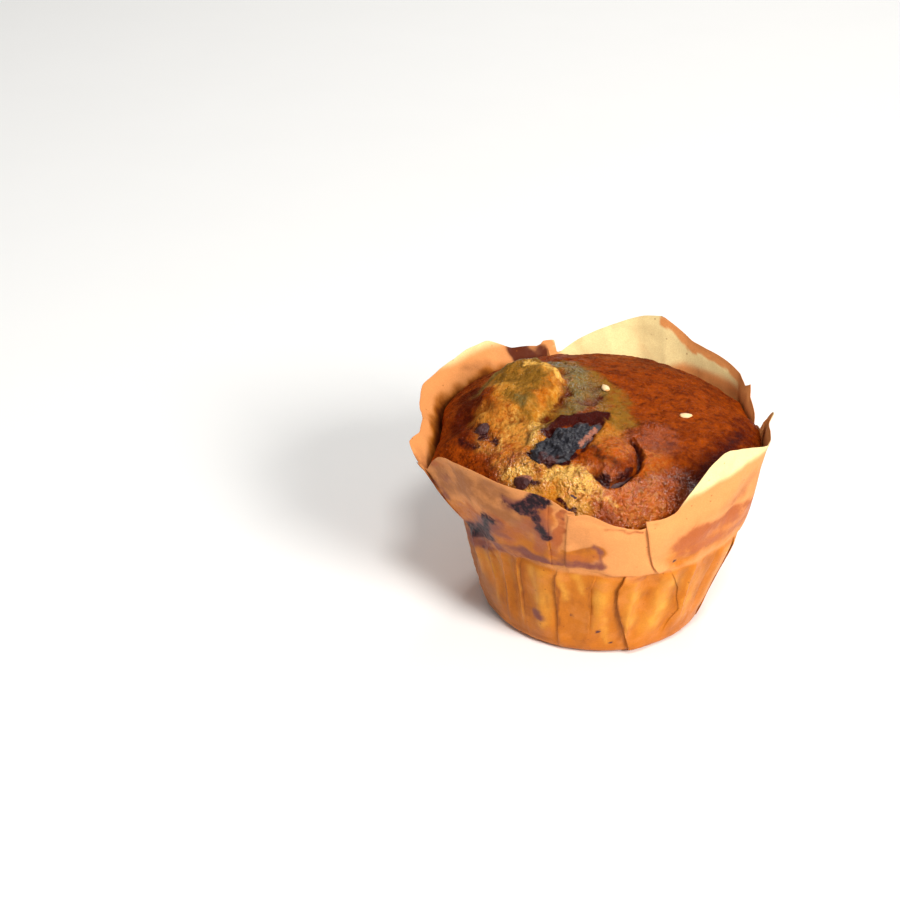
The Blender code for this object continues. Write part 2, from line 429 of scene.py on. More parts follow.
def apply_modifiers(piece: bpy.types.Object) -> None:
    """Apply the piece's modifiers in their order.

    Args:
        piece: The piece.
    """
    pick(piece)
    for modifier in list(piece.modifiers):
        bpy.ops.object.modifier_apply(modifier=modifier.name)


def merge_doubles(piece: bpy.types.Object, distance: float = 1e-6) -> None:
    """Merge vertices that lie on each other.

    Args:
        piece: The piece.
        distance: How near they have to be, in metres.
    """
    pick(piece)
    bpy.ops.object.mode_set(mode="EDIT")
    bpy.ops.mesh.select_all(action="SELECT")
    bpy.ops.mesh.remove_doubles(threshold=distance)
    bpy.ops.object.mode_set(mode="OBJECT")


def new_ball(segments: int, rings: int) -> bpy.types.Object:
    """A new ball of radius 1, the only selected object.

    Args:
        segments: Columns of its mesh.
        rings: Rows of its mesh.

    Returns:
        The ball.
    """
    free_selection()
    bpy.ops.mesh.primitive_uv_sphere_add(segments=segments, ring_count=rings, radius=1.0)
    return bpy.context.object


def stand(node: str, azimuth: float, body: np.ndarray) -> np.ndarray:
    """Stand a body in the middle of its node's place, turned to an azimuth.

    Args:
        node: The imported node.
        azimuth: Where the body's own X points.
        body: The body's points round its own middle, in millimetres.

    Returns:
        The points where they belong, in millimetres.
    """
    low, high = (np.array(corner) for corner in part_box(node))
    turn = math.radians(azimuth)
    along = np.array([math.cos(turn), math.sin(turn), 0.0])
    across = np.array([-math.sin(turn), math.cos(turn), 0.0])
    points = (low + high) / 2.0 / MM + body[:, :1] * along + body[:, 1:2] * across
    points[:, 2] += body[:, 2]
    return points


def smooth(piece: bpy.types.Object) -> None:
    """Shade the whole piece smooth."""
    pick(piece)
    bpy.ops.object.shade_smooth()


def settle(piece: bpy.types.Object, node: str, material: bpy.types.Material) -> None:
    """Dress a piece and let it stand for its node.

    Args:
        piece: The finished piece.
        node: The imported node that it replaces, whose name it takes.
        material: Its finish.
    """
    piece.name = "fine_" + node
    piece.data.name = piece.name
    piece.data.materials.clear()
    piece.data.materials.append(material)
    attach(piece, BODY)
    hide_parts(node)


# ---------------------------------------------------------------- finishes


class Paint:
    """A material under construction: its nodes and the short ways to add them."""

    def __init__(self, name: str) -> None:
        """Start a Principled material of this name.

        Args:
            name: The name of the material.
        """
        self.material = bpy.data.materials.new(name)
        self.material.use_nodes = True
        self.tree = self.material.node_tree
        self.shader = self.tree.nodes["Principled BSDF"]
        self.place = self.node("ShaderNodeTexCoord").outputs["Object"]

    def node(self, kind: str, **settings: object) -> bpy.types.Node:
        """Add a node of this kind with these settings.

        Args:
            kind: The type of the node.
            **settings: Its settings by name.

        Returns:
            The node.
        """
        made = self.tree.nodes.new(kind)
        for key, value in settings.items():
            setattr(made, key, value)
        return made

    def feed(self, socket: bpy.types.NodeSocket, value: object) -> None:
        """Give a socket a number, a colour or another node's output.

        Args:
            socket: The socket.
            value: What it gets.
        """
        if isinstance(value, bpy.types.NodeSocket):
            self.tree.links.new(value, socket)
        elif isinstance(value, tuple) and len(value) == 3 and len(socket.default_value) == 4:
            socket.default_value = (*value, 1.0)
        else:
            socket.default_value = value

    def fixed(self, **values: object) -> None:
        """Set the shader's own sockets, with _ for each space in a socket's name."""
        for key, value in values.items():
            self.shader.inputs[key.replace("_", " ")].default_value = value

    def amount(self, name: str) -> bpy.types.NodeSocket:
        """The numbers stored on the mesh under this name."""
        return self.node("ShaderNodeAttribute", attribute_name=name).outputs["Fac"]

    def noise(self, size: float, detail: float = 3.0, rough: float = 0.55,
              stretch: tuple = (1.0, 1.0, 1.0)) -> bpy.types.NodeSocket:
        """Noise with waves of this size in millimetres, from 0 to 1.

        Args:
            size: The size of the largest waves, in millimetres.
            detail: How many finer layers lie on them.
            rough: How strong each finer layer is.
            stretch: Scales along X, Y and Z: below 1 the waves are longer.

        Returns:
            The noise.
        """
        mapped = self.node("ShaderNodeMapping")
        self.feed(mapped.inputs["Vector"], self.place)
        mapped.inputs["Scale"].default_value = stretch
        made = self.node("ShaderNodeTexNoise")
        self.feed(made.inputs["Vector"], mapped.outputs["Vector"])
        made.inputs["Scale"].default_value = 1.0 / (size * MM)
        made.inputs["Detail"].default_value = detail
        made.inputs["Roughness"].default_value = rough
        return made.outputs["Fac"]

    def cells(self, size: float, feature: str = "F1") -> bpy.types.NodeSocket:
        """The distance to scattered seeds of this spacing in millimetres.

        Args:
            size: The spacing, in millimetres.
            feature: Which distance it is.

        Returns:
            The distance, in spacings.
        """
        made = self.node("ShaderNodeTexVoronoi", feature=feature)
        self.feed(made.inputs["Vector"], self.place)
        made.inputs["Scale"].default_value = 1.0 / (size * MM)
        return made.outputs["Distance"]

    def sum(self, kind: str, first: object, second: object = 0.0) -> bpy.types.NodeSocket:
        """A Math node of this kind on two values.

        Args:
            kind: What the node does.
            first: The first value.
            second: The second value.

        Returns:
            The result.
        """
        made = self.node("ShaderNodeMath", operation=kind)
        self.feed(made.inputs[0], first)
        self.feed(made.inputs[1], second)
        return made.outputs["Value"]

    def spread(self, value: object, low: float, high: float, to_low: float = 0.0,
               to_high: float = 1.0) -> bpy.types.NodeSocket:
        """Bring a value's range from low and high to the two new ends, smoothly and held there.

        Args:
            value: The value.
            low: Its lower end.
            high: Its upper end.
            to_low: What it becomes at the lower end.
            to_high: What it becomes at the upper end.

        Returns:
            The new value.
        """
        made = self.node("ShaderNodeMapRange", interpolation_type="SMOOTHSTEP")
        for key, number in (("From Min", low), ("From Max", high), ("To Min", to_low), ("To Max", to_high)):
            made.inputs[key].default_value = number
        self.feed(made.inputs["Value"], value)
        return made.outputs["Result"]

    def ragged(self, name: str, rag: bpy.types.NodeSocket, reach: float = 0.35, low: float = 0.35,
               high: float = 0.65) -> bpy.types.NodeSocket:
        """A stored amount that noise breaks up, from 0 to 1; it stays 0 where the amount is 0.

        Args:
            name: The amount's name.
            rag: The noise.
            reach: How much the noise swings the amount, as a share.
            low: The swung amount below which it is 0.
            high: The swung amount above which it is 1.

        Returns:
            The broken amount.
        """
        swing = self.spread(rag, 0.3, 0.7, 1.0 - reach, 1.0 + reach)
        return self.spread(self.sum("MULTIPLY", self.amount(name), swing), low, high)

    def mix(self, share: object, first: object, second: object, blend: str = "MIX") -> bpy.types.NodeSocket:
        """Mix two colours by a share from 0 to 1.

        Args:
            share: How much of the second there is.
            first: The first colour.
            second: The second colour.
            blend: How the second is laid on the first.

        Returns:
            The mixed colour.
        """
        made = self.node("ShaderNodeMix", data_type="RGBA", blend_type=blend)
        self.feed(made.inputs["Factor"], share)
        self.feed(made.inputs[6], first)
        self.feed(made.inputs[7], second)
        return made.outputs[2]

    def bump(self, layers: tuple) -> None:
        """Lay bumps on each other: each is its height in millimetres and its pattern.

        Args:
            layers: The height and the pattern of each, the deepest first.
        """
        before = None
        for height, pattern in layers:
            made = self.node("ShaderNodeBump")
            made.inputs["Strength"].default_value = 1.0
            made.inputs["Distance"].default_value = height * MM
            self.feed(made.inputs["Height"], pattern)
            if before:
                self.feed(made.inputs["Normal"], before)
            before = made.outputs["Normal"]
        self.feed(self.shader.inputs["Normal"], before)
        self.feed(self.shader.inputs["Coat Normal"], before)


@dataclass(frozen=True)
class PaperFinish:
    """Baked parchment: dry and pale at the petals, soaked with butter round the cake.

    Attributes:
        tan: The dry browned paper.
        cream: The palest dry paper.
        soaked: The buttery paper with the cake behind it.
        deep: The darkest of the soaked paper, and the colour of the painted shade.
        painted_light: Painted highlight on the soaked paper, a bright gold.
        rust: Browned fat and syrup.
        dull_and_shade: Paper that has browned and lost its shine, and painted shade on the case's darker
            lower left.
        shaded_grease: The darkest greasy strips, darkened further as painted shade where the paper's inside
            meets the cake.
        juice: Berry juice at its darkest.
        plum: The edge of a juice blot.
        mauve: Berry juice that has spread thin.
    """

    tan: tuple = (0.76, 0.305, 0.095)
    cream: tuple = (0.95, 0.76, 0.36)
    soaked: tuple = (0.57, 0.170, 0.010)
    deep: tuple = (0.28, 0.068, 0.008)
    painted_light: tuple = (0.75, 0.33, 0.040)
    rust: tuple = (0.44, 0.115, 0.030)
    dull_and_shade: tuple = (0.40, 0.145, 0.045)
    shaded_grease: tuple = (0.105, 0.018, 0.004)
    juice: tuple = (0.018, 0.008, 0.012)
    plum: tuple = (0.085, 0.025, 0.026)
    mauve: tuple = (0.24, 0.070, 0.048)

    def make(self) -> bpy.types.Material:
        """Mix the finish from the amounts stored on the paper.

        Returns:
            The material.
        """
        paint = Paint("baked_parchment")
        fine = paint.noise(1.1, 4.0)
        cloud = paint.noise(6.0, 4.0)
        streak = paint.noise(2.6, 3.0, stretch=(1.0, 1.0, 0.22))
        mottled = paint.mix(paint.spread(cloud, 0.35, 0.7), self.soaked, self.deep)
        soaked = paint.mix(paint.spread(streak, 0.35, 0.75, 0.0, 0.6), self.soaked, mottled)
        # painted highlight on the greasy lower wall
        soaked = paint.mix(paint.ragged("painted_light", cloud, 0.4, 0.0, 1.0), soaked, self.painted_light)
        dry = paint.mix(paint.ragged("cream", cloud, 0.12, 0.1, 0.9), self.tan, self.cream)
        dry = paint.mix(paint.spread(cloud, 0.45, 0.8, 0.0, 0.2), dry, self.dull_and_shade)
        colour = paint.mix(paint.ragged("soak", cloud, 0.35, 0.0, 0.95), dry, soaked)
        # browned paper, with painted shade on the lower left
        colour = paint.mix(paint.ragged("dull_and_shade", cloud, 0.5, 0.0, 1.0), colour, self.dull_and_shade)
        colour = paint.mix(paint.ragged("rust", cloud, 0.5, 0.0, 1.0), colour, self.rust)
        # painted shade in the folds and along the lower wall
        colour = paint.mix(paint.ragged("shade", cloud, 0.25, 0.0, 1.0), colour, self.deep)
        # greasy paper with painted shade next to the cake
        colour = paint.mix(paint.ragged("shaded_grease", cloud, 0.3, 0.0, 0.9), colour, self.shaded_grease)
        colour = paint.mix(paint.ragged("mauve", cloud, 0.5, 0.0, 1.0), colour, self.mauve)
        colour = paint.mix(paint.ragged("juice", fine, 0.5, 0.05, 0.55), colour, self.plum)
        colour = paint.mix(paint.ragged("juice", fine, 0.6, 0.45, 1.0), colour, self.juice)
        fleck = paint.spread(paint.cells(3.1), 0.10, 0.05, 0.0, 0.55)
        colour = paint.mix(fleck, colour, self.deep)
        fibre = paint.noise(0.35, 2.0, stretch=(1.0, 1.0, 2.0))
        colour = paint.mix(paint.spread(fibre, 0.3, 0.7, 0.0, 0.16), colour, self.deep, "MULTIPLY")
        paint.feed(paint.shader.inputs["Base Color"], colour)
        greasy = paint.spread(paint.amount("soak"), 0.2, 0.8, 0.62, 0.40)
        uneven = paint.spread(fine, 0.3, 0.7, -0.06, 0.08)
        paint.feed(paint.shader.inputs["Roughness"], paint.sum("ADD", greasy, uneven))
        paint.bump(((0.10, cloud), (0.05, paint.noise(0.9, 3.0)), (0.02, fibre)))
        paint.fixed(Specular_IOR_Level=0.12)
        return paint.material


@dataclass(frozen=True)
class CakeFinish:
    """The baked and buttered skin of the cake.

    Attributes:
        brown: The well baked skin.
        dark: Its darkest mottling, also the burnt crust and the painted shade.
        gold: The golden skin.
        pale: The palest golden bumps, also the colour of painted glints.
        orange: The wet orange skin at the front.
        green: Batter that the berries' juice has turned green.
        olive: The dull green brown round it.
        juice_and_shadow: Juice soaked into the crumb, and the right petal's painted shadow on the crown.
    """

    brown: tuple = (0.26, 0.040, 0.002)
    dark: tuple = (0.085, 0.008, 0.001)
    gold: tuple = (0.52, 0.175, 0.007)
    pale: tuple = (0.78, 0.42, 0.085)
    orange: tuple = (0.46, 0.082, 0.002)
    green: tuple = (0.165, 0.140, 0.050)
    olive: tuple = (0.24, 0.105, 0.012)
    juice_and_shadow: tuple = (0.045, 0.006, 0.004)

    def make(self) -> bpy.types.Material:
        """Mix the finish from the amounts stored on the cake.

        Returns:
            The material.
        """
        paint = Paint("baked_cake")
        fine = paint.noise(0.9, 5.0, 0.62)
        middle = paint.noise(2.4, 4.0, 0.6)
        broad = paint.noise(7.0, 3.0)
        pores = paint.cells(0.85)
        # Fine light specks of the crumb, partly painted glints on its bumps
        speck_glint = paint.spread(fine, 0.40, 0.68)
        brown = paint.mix(paint.spread(middle, 0.44, 0.64, 0.0, 0.72), self.brown, self.dark)
        brown = paint.mix(paint.spread(broad, 0.42, 0.62, 0.0, 0.40), brown, self.dark)
        brown = paint.mix(paint.sum("MULTIPLY", speck_glint, 0.34), brown, self.orange)
        gold = paint.mix(paint.spread(broad, 0.38, 0.70, 0.0, 0.55), self.gold, self.pale)
        gold = paint.mix(paint.sum("MULTIPLY", speck_glint, 0.45), gold, self.pale)
        gold = paint.mix(paint.spread(middle, 0.50, 0.72, 0.0, 0.6), gold, self.orange)
        orange = paint.mix(paint.spread(middle, 0.40, 0.62, 0.0, 0.80), self.orange, self.brown)
        orange = paint.mix(paint.sum("MULTIPLY", speck_glint, 0.22), orange, self.pale)
        green = paint.mix(paint.spread(fine, 0.38, 0.64), self.green, self.olive)
        colour = paint.mix(paint.ragged("gold", middle, 0.3, 0.0, 1.0), brown, gold)
        colour = paint.mix(paint.ragged("orange", middle, 0.4, 0.0, 0.9), colour, orange)
        colour = paint.mix(paint.ragged("olive", middle, 0.5, 0.0, 1.0), colour, self.olive)
        colour = paint.mix(paint.ragged("green", fine, 0.6, 0.05, 0.9), colour, green)
        # pale golden crumb, with a painted highlight at the front left
        colour = paint.mix(paint.ragged("pale", fine, 0.5, 0.1, 0.9), colour, self.pale)
        # burnt crust and painted shade
        colour = paint.mix(paint.ragged("burn_and_shade", middle, 0.4, 0.0, 1.0), colour, self.dark)
        # berry juice, and the right petal's painted shadow
        colour = paint.mix(paint.ragged("juice_and_shadow", fine, 0.35, 0.1, 0.8), colour, self.juice_and_shadow)
        paint.feed(paint.shader.inputs["Base Color"], colour)
        wet = paint.amount("wet")
        paint.feed(paint.shader.inputs["Roughness"], paint.spread(middle, 0.35, 0.65, 0.38, 0.52))
        paint.feed(paint.shader.inputs["Coat Weight"], paint.spread(wet, 0.0, 0.9, 0.04, 1.0))
        paint.fixed(Specular_IOR_Level=0.01, Coat_Roughness=0.09, Subsurface_Weight=0.06,
                    Subsurface_Radius=(1.0, 0.3, 0.1), Subsurface_Scale=0.0015)
        drops = paint.sum("MULTIPLY", paint.sum("ADD", wet, 0.3), paint.noise(1.4, 2.0, 0.5))
        paint.bump(((0.45, middle), (0.40, fine), (1.6, drops), (0.15, paint.spread(pores, 0.0, 0.45)),
                    (0.03, paint.noise(0.3, 2.0))))
        return paint.material


@dataclass(frozen=True)
class BerryFinish:
    """The skin, pulp and flesh of a baked blueberry.

    Attributes:
        skin: The blue-black skin and pulp.
        grey_glint: Painted greyish highlights on its wrinkles.
        plum: Skin that the oven has turned dark red.
        flesh: The opened flesh.
    """

    skin: tuple = (0.012, 0.011, 0.016)
    grey_glint: tuple = (0.030, 0.031, 0.044)
    plum: tuple = (0.050, 0.009, 0.008)
    flesh: tuple = (0.34, 0.115, 0.065)

    def make(self) -> bpy.types.Material:
        """Mix the finish from the amounts stored on a berry.

        Returns:
            The material.
        """
        paint = Paint("baked_blueberry")
        fine = paint.noise(0.5, 4.0, 0.6)
        middle = paint.noise(1.6, 3.0)
        # painted greyish glints on the skin and pulp
        colour = paint.mix(paint.spread(fine, 0.5, 0.72), self.skin, self.grey_glint)
        colour = paint.mix(paint.ragged("plum", middle, 0.5, 0.2, 0.8), colour, self.plum)
        colour = paint.mix(paint.ragged("flesh", fine, 0.6, 0.1, 0.9), colour, self.flesh)
        paint.feed(paint.shader.inputs["Base Color"], colour)
        paint.feed(paint.shader.inputs["Roughness"], paint.spread(middle, 0.3, 0.7, 0.28, 0.55))
        paint.fixed(Specular_IOR_Level=0.4)
        paint.bump(((0.20, fine), (0.06, paint.noise(0.2, 2.0))))
        return paint.material


@dataclass(frozen=True)
class SesameFinish:
    """A toasted sesame seed.

    Attributes:
        hull: The pale hull.
        toast: Its toasted ends.
    """

    hull: tuple = (0.90, 0.62, 0.32)
    toast: tuple = (0.62, 0.27, 0.07)

    def make(self) -> bpy.types.Material:
        """Mix the finish.

        Returns:
            The material.
        """
        paint = Paint("toasted_sesame")
        fine = paint.noise(0.4, 3.0)
        paint.feed(paint.shader.inputs["Base Color"],
                   paint.mix(paint.ragged("toast", fine, 0.3), self.hull, self.toast))
        paint.feed(paint.shader.inputs["Roughness"], paint.spread(fine, 0.3, 0.7, 0.35, 0.55))
        paint.bump(((0.02, fine),))
        return paint.material


# ---------------------------------------------------------------- the paper


@dataclass(frozen=True)
class Pleat:
    """One knife pleat: the paper laps over itself along a line up the wall.

    Attributes:
        line: Azimuth and height of the folded edge, from its foot to its head.
        lift: How far the folded edge stands off the paper under it.
        side: 1 where the upper layer lies towards smaller azimuths, -1 towards larger ones.
        ramp: The width over which the upper layer rises.
        tuck: How deep the paper is tucked under the edge.
        low: The levels between which it comes in from its foot.
        high: The levels between which it goes out at its head.
    """

    line: tuple
    lift: float
    side: int
    ramp: float = 5.0
    tuck: float = 1.6
    low: tuple = (0.02, 0.2)
    high: tuple = (0.9, 1.03)

    def azimuth(self, height: np.ndarray) -> np.ndarray:
        """Where the edge runs at these heights."""
        azimuths, heights = zip(*self.line)
        return np.interp(height, heights, azimuths)

    def fade(self, level: np.ndarray) -> np.ndarray:
        """How much of the pleat there is at these levels."""
        fade = ease(level, *self.low)
        return fade if self.high[0] > 2.0 else fade * ease(level, self.high[1], self.high[0])


def upper(line: tuple, lift: float, side: int, ramp: float = 6.0, tuck: float = 2.0,
          low: tuple = (0.95, 1.12)) -> Pleat:
    """A pleat that runs from the waist out over the rim."""
    return Pleat(line, lift, side, ramp, tuck, low, (3.0, 4.0))


LOWER_PLEATS = (
    Pleat(((227, 3), (227, 13), (227.3, 17.6), (225.4, 21.5), (222.5, 25)), 0.40, -1, 4.0),
    Pleat(((239, 4), (239, 26)), 0.35, -1, 4.5, 1.2),
    Pleat(((255.6, 4), (255.2, 12.7), (254.3, 20), (254.2, 27)), 0.60, -1, 4.0),
    Pleat(((270.2, 9), (269.7, 16.5), (268.9, 22.5), (270.4, 26)), 0.45, 1, 4.0, 1.4, (0.25, 0.5)),
    Pleat(((291.5, 0.6), (286.6, 7.1), (282.3, 13.8), (280, 18.5), (279.5, 22.9), (281.5, 26.7)), 1.05, -1,
          8.0, 2.6, (0.0, 0.10), (0.97, 1.02)),
    Pleat(((309, 5), (312, 12), (308, 20), (300, 27)), 0.30, -1, 4.0, 1.0, (0.1, 0.4)),
    Pleat(((325, 3), (324, 15), (327, 26)), 0.30, 1, 5.0, 1.2),
    Pleat(((342, 3), (343, 15), (340, 26)), 0.45, -1, 5.0),
    Pleat(((359, 3), (358, 15), (0.5, 26)), 0.40, 1, 5.0),
    Pleat(((15, 3), (14, 15), (12, 26.5)), 0.80, -1, 5.0, 2.2, (0.0, 0.15)),
    Pleat(((31, 3), (33, 15), (32, 26)), 0.40, 1, 4.0),
    Pleat(((49, 3), (48, 15), (51, 26)), 0.45, -1, 4.5),
    Pleat(((66, 3), (67, 15), (65, 26)), 0.35, -1, 5.0),
    Pleat(((83, 3), (82, 15), (85, 26)), 0.50, 1, 4.0),
    Pleat(((101, 3), (102, 15), (104, 26.5)), 0.85, 1, 5.0, 2.2, (0.0, 0.15)),
    Pleat(((118, 3), (117, 15), (119, 26)), 0.35, -1, 4.0),
    Pleat(((134, 3), (135, 15), (133, 26)), 0.45, 1, 4.5),
    Pleat(((152, 3), (150, 15), (152, 26)), 0.40, -1, 5.0),
    Pleat(((170, 3), (171, 15), (169, 26)), 0.50, 1, 4.0),
    Pleat(((187, 3), (186, 15), (188, 26)), 0.40, -1, 4.0),
    Pleat(((203, 3), (203.5, 10), (207.5, 20.5), (208.5, 26)), 0.55, -1, 4.5),
)
UPPER_PLEATS = (
    upper(((13, 27), (12, 40), (11.5, 50)), 0.9, 1, 6.0, 2.4),
    upper(((105, 27), (104.5, 40), (105, 50)), 0.8, -1, 5.0, 2.0),
    upper(((207, 27), (204, 36), (202.8, 44)), 0.9, -1, 5.0, 2.0),
    upper(((254, 29), (257, 40), (259.7, 50.4)), 0.35, 1, 4.0, 1.2),
    upper(((259.3, 28.9), (262.5, 38), (265.5, 46)), 0.45, -1, 5.0, 1.6),
    upper(((294.8, 27), (292.5, 29.7), (291.4, 34), (291.2, 40), (291, 43.5)), 0.9, -1, 9.0, 2.6,
          (0.98, 1.08)),
)
# Creases in the wall: ridges stand out and valleys, with a depth below 0, run in
CREASES = (
    Stroke(((277, 18.5), (272.6, 11.8), (268.2, 4.6)), 0.2, 0.45, 3.6),
    Stroke(((293.5, 25), (298, 22.5), (304, 18.5), (309, 16)), 0.1, -0.5, 2.4),
    Stroke(((292, 25.5), (294, 21), (291.5, 15)), 0.1, -0.35, 2.4),
    Stroke(((303, 22.5), (309, 16), (316, 7.5)), 0.2, 0.4, 3.6),
    Stroke(((294, 31), (298, 28.8), (303, 29.2), (308, 29.4)), 0.1, -0.55, 2.2),
    Stroke(((306, 29.5), (320, 27.6), (338, 27.4)), 0.2, -0.3, 3.0),
    Stroke(((208.5, 31.6), (210.8, 41.8), (213, 47)), 0.2, 0.5, 4.5),
    Stroke(((217, 29), (217.4, 40), (223, 51)), 0.2, -0.45, 5.0),
    Stroke(((231.9, 29), (231.9, 41.5), (229, 52)), 0.2, 0.4, 6.0),
    Stroke(((243, 29), (246, 40), (248, 51)), 0.2, -0.35, 5.0),
    Stroke(((275, 29), (277, 38), (276, 45)), 0.2, 0.3, 6.0),
    Stroke(((311, 31), (310, 45), (312, 55)), 0.2, 0.45, 5.0),
    Stroke(((322, 30), (330, 42), (332, 55)), 0.2, -0.4, 7.0),
    Stroke(((344, 30), (341, 41), (340, 52)), 0.2, 0.5, 5.0),
    Stroke(((258, 24), (262, 18), (262, 10)), 0.2, 0.35, 4.0),
    Stroke(((213, 24), (215, 17), (216, 8)), 0.2, 0.35, 3.5),
    Stroke(((245, 25), (247, 16), (248, 7)), 0.2, 0.35, 4.5),
    Stroke(((20, 30), (24, 41), (27, 53)), 0.2, -0.8, 4.5),
    Stroke(((33, 30), (31, 42), (35, 53)), 0.2, 0.6, 5.0),
    Stroke(((58, 30), (66, 44), (69, 58)), 0.2, -0.6, 5.0),
    Stroke(((76, 30), (79, 42), (77, 56)), 0.2, 0.5, 6.0),
    Stroke(((88, 31), (84, 44), (88, 53)), 0.2, -0.5, 5.0),
    Stroke(((119, 30), (121, 40), (123, 50)), 0.2, -0.9, 4.0),
    Stroke(((132, 30), (134, 42), (131, 52)), 0.2, 0.7, 6.0),
    Stroke(((146, 30), (149, 42), (147, 51.5)), 0.2, -0.8, 4.5),
    Stroke(((158, 30), (163, 42), (166, 50.5)), 0.2, 0.6, 5.0),
    Stroke(((181, 30), (180, 42), (184, 48)), 0.2, -0.8, 5.0),
)
# The crease at the waist: azimuth, its height and how far the paper above stands over it
WAIST = (
    (2, 27.2, 0.30), (14, 27.0, 0.50), (32, 28.0, 0.25), (55, 27.4, 0.35), (78, 28.4, 0.25),
    (104, 27.0, 0.55), (128, 28.2, 0.25), (150, 27.2, 0.40), (178, 27.0, 0.25), (200, 24.0, 0.20),
    (223, 25.6, 0.30),
    (233, 26.6, 0.35), (244, 27.9, 0.40), (253, 28.6, 0.35), (265, 28.8, 0.30), (272, 28.4, 0.40),
    (276, 27.2, 0.60), (294, 26.8, 0.60), (299, 27.4, 0.15), (330, 28.0, 0.10), (348, 27.6, 0.15),
)
JUICE = (
    Stroke(((248.6, 45.4), (252.4, 47.4), (257.2, 50.4)), 1.5, 1.0, 2.4),
    Stroke(((244.6, 46.2), (249, 45.2)), 0.4, 0.8, 1.6),
    Stroke(((252.4, 47), (253.2, 43.4), (255.0, 39.8)), 0.8, 1.0, 1.8),
    Stroke(((253.4, 40.6), (256.4, 38.8)), 0.8, 0.95, 1.6),
    Stroke(((200, 23.4), (212, 27.2), (220, 29.6), (226, 31)), 1.5, 1.0, 3.2),
    Stroke(((219, 29.6), (226.5, 33), (232.4, 38)), 1.2, 0.95, 2.8),
    Stroke(((243.4, 48), (242.0, 45.4)), 0.3, 0.5, 1.4),
    Stroke(((262.5, 45.6), (264, 45)), 0.3, 0.4, 1.2),
    Stroke(((260.9, 12.6),), 0.45, 1.0, 0.7),
    Stroke(((274.3, 8.6),), 0.45, 1.0, 0.7),
    Stroke(((281.0, 4.2),), 0.3, 0.9, 0.6),
    Stroke(((216.0, 23.6),), 0.3, 0.7, 0.8),
    Stroke(((302.0, 30.0),), 0.35, 0.7, 0.7),
    Stroke(((71, 31), (76, 33), (80, 37)), 1.6, 1.0, 1.4),
    Stroke(((77, 33), (83, 31)), 1.0, 0.9, 1.4),
    Stroke(((148, 34), (153, 38)), 1.3, 0.95, 1.2),
    Stroke(((20, 14),), 1.1, 0.8, 1.2),
    Stroke(((126, 12), (130, 14)), 0.8, 0.8, 1.2),
    Stroke(((171, 36),), 0.9, 0.8, 1.2),
)
MAUVE = (
    Stroke(((198, 19.5), (214, 24.6), (223, 26.6), (234, 28.4), (245, 29.6)), 1.9, 0.85, 2.2),
    Stroke(((245, 29.6), (256, 30.0), (265, 30.8), (273.4, 31.0)), 1.2, 0.85, 1.8),
    Stroke(((272.4, 30), (273.8, 34.6), (272, 37)), 0.6, 0.75, 1.4),
    Stroke(((206, 25.6), (221, 30.4), (233, 37.5)), 3.0, 0.7, 3.4),
    Stroke(((203.4, 34.6), (203.4, 38.4), (207, 39.6), (208.6, 36.6), (205.6, 34.4)), 0.9, 0.75, 1.6),
    Stroke(((246.3, 10.5),), 1.6, 0.95, 2.4),
    Stroke(((241.5, 44.5), (243.5, 47)), 0.9, 0.55, 1.6),
    Stroke(((247, 46), (253, 47), (255, 40)), 2.4, 0.55, 2.6),
    Stroke(((213, 42), (217, 44.4)), 1.2, 0.45, 2.0),
    Stroke(((283.5, 26.2), (289, 26)), 0.7, 0.65, 1.0),
    Stroke(((234, 33), (237.5, 34)), 0.9, 0.45, 1.2),
    Stroke(((66, 28.4), (84, 29), (92, 28)), 0.9, 0.7, 1.4),
    Stroke(((143, 28.4), (158, 29)), 1.0, 0.7, 1.4),
    Stroke(((70, 30), (78, 35), (86, 31)), 3.0, 0.5, 2.0),
)
RUST = (
    Stroke(((305, 33.6), (311, 36.6), (318, 36.4), (327, 37), (342, 35.6)), 2.8, 0.95, 3.4),
    Stroke(((307, 32.2), (318, 32.4), (338, 32.4)), 1.8, 0.8, 3.0),
    Stroke(((310, 41), (318, 42.4), (334, 42)), 1.4, 0.35, 4.0),
    Stroke(((250.5, 33), (254, 39), (258, 47)), 1.6, 0.75, 1.4),
    Stroke(((256, 33), (261, 41), (263.5, 47.5)), 1.1, 0.85, 1.0),
    Stroke(((213, 31), (222, 36), (236, 38)), 3.2, 0.55, 3.0),
    Stroke(((236, 33), (246, 38), (251, 42)), 2.0, 0.60, 3.0),
    Stroke(((207, 45), (214, 47), (222, 50)), 0.8, 0.55, 1.6),
    Stroke(((256, 31.5), (266, 32.9), (272, 33.5)), 1.2, 0.6, 1.8),
    Stroke(((276, 42.2), (283, 42.0), (289, 40.8)), 0.25, 0.8, 0.8),
    Stroke(((40, 33), (52, 35), (60, 33)), 2.0, 0.8, 1.8),
    Stroke(((128, 33), (140, 36)), 2.2, 0.8, 1.8),
    Stroke(((352, 31), (2, 34), (8, 40)), 2.2, 0.7, 2.0),
    Stroke(((176, 33), (190, 37)), 2.2, 0.7, 2.0),
)
# Paper that the oven has browned and dulled, and painted shade on the darker lower left of the case
DULL_AND_SHADE = (
    Stroke(((206, 42), (218, 46), (236, 46), (250, 42)), 5.5, 0.75, 6.0),
    Stroke(((212, 48), (228, 51), (246, 50.5)), 1.6, 0.55, 3.0),
    Stroke(((196, 20), (203, 12), (210, 4)), 7.0, 1.0, 10.0),
    Stroke(((200, 22), (216, 26)), 4.0, 0.9, 5.0),
    Stroke(((214, 5), (230, 4), (244, 3)), 2.0, 0.4, 5.0),
    Stroke(((190, 33), (200, 38), (206, 44)), 4.0, 0.7, 5.0),
    Stroke(((294, 30), (300, 34), (303, 40)), 1.6, 0.25, 4.0),
    Stroke(((20, 44), (34, 46), (52, 46)), 2.0, 0.35, 4.0),
    Stroke(((330, 44), (345, 44)), 3.0, 0.3, 5.0),
)
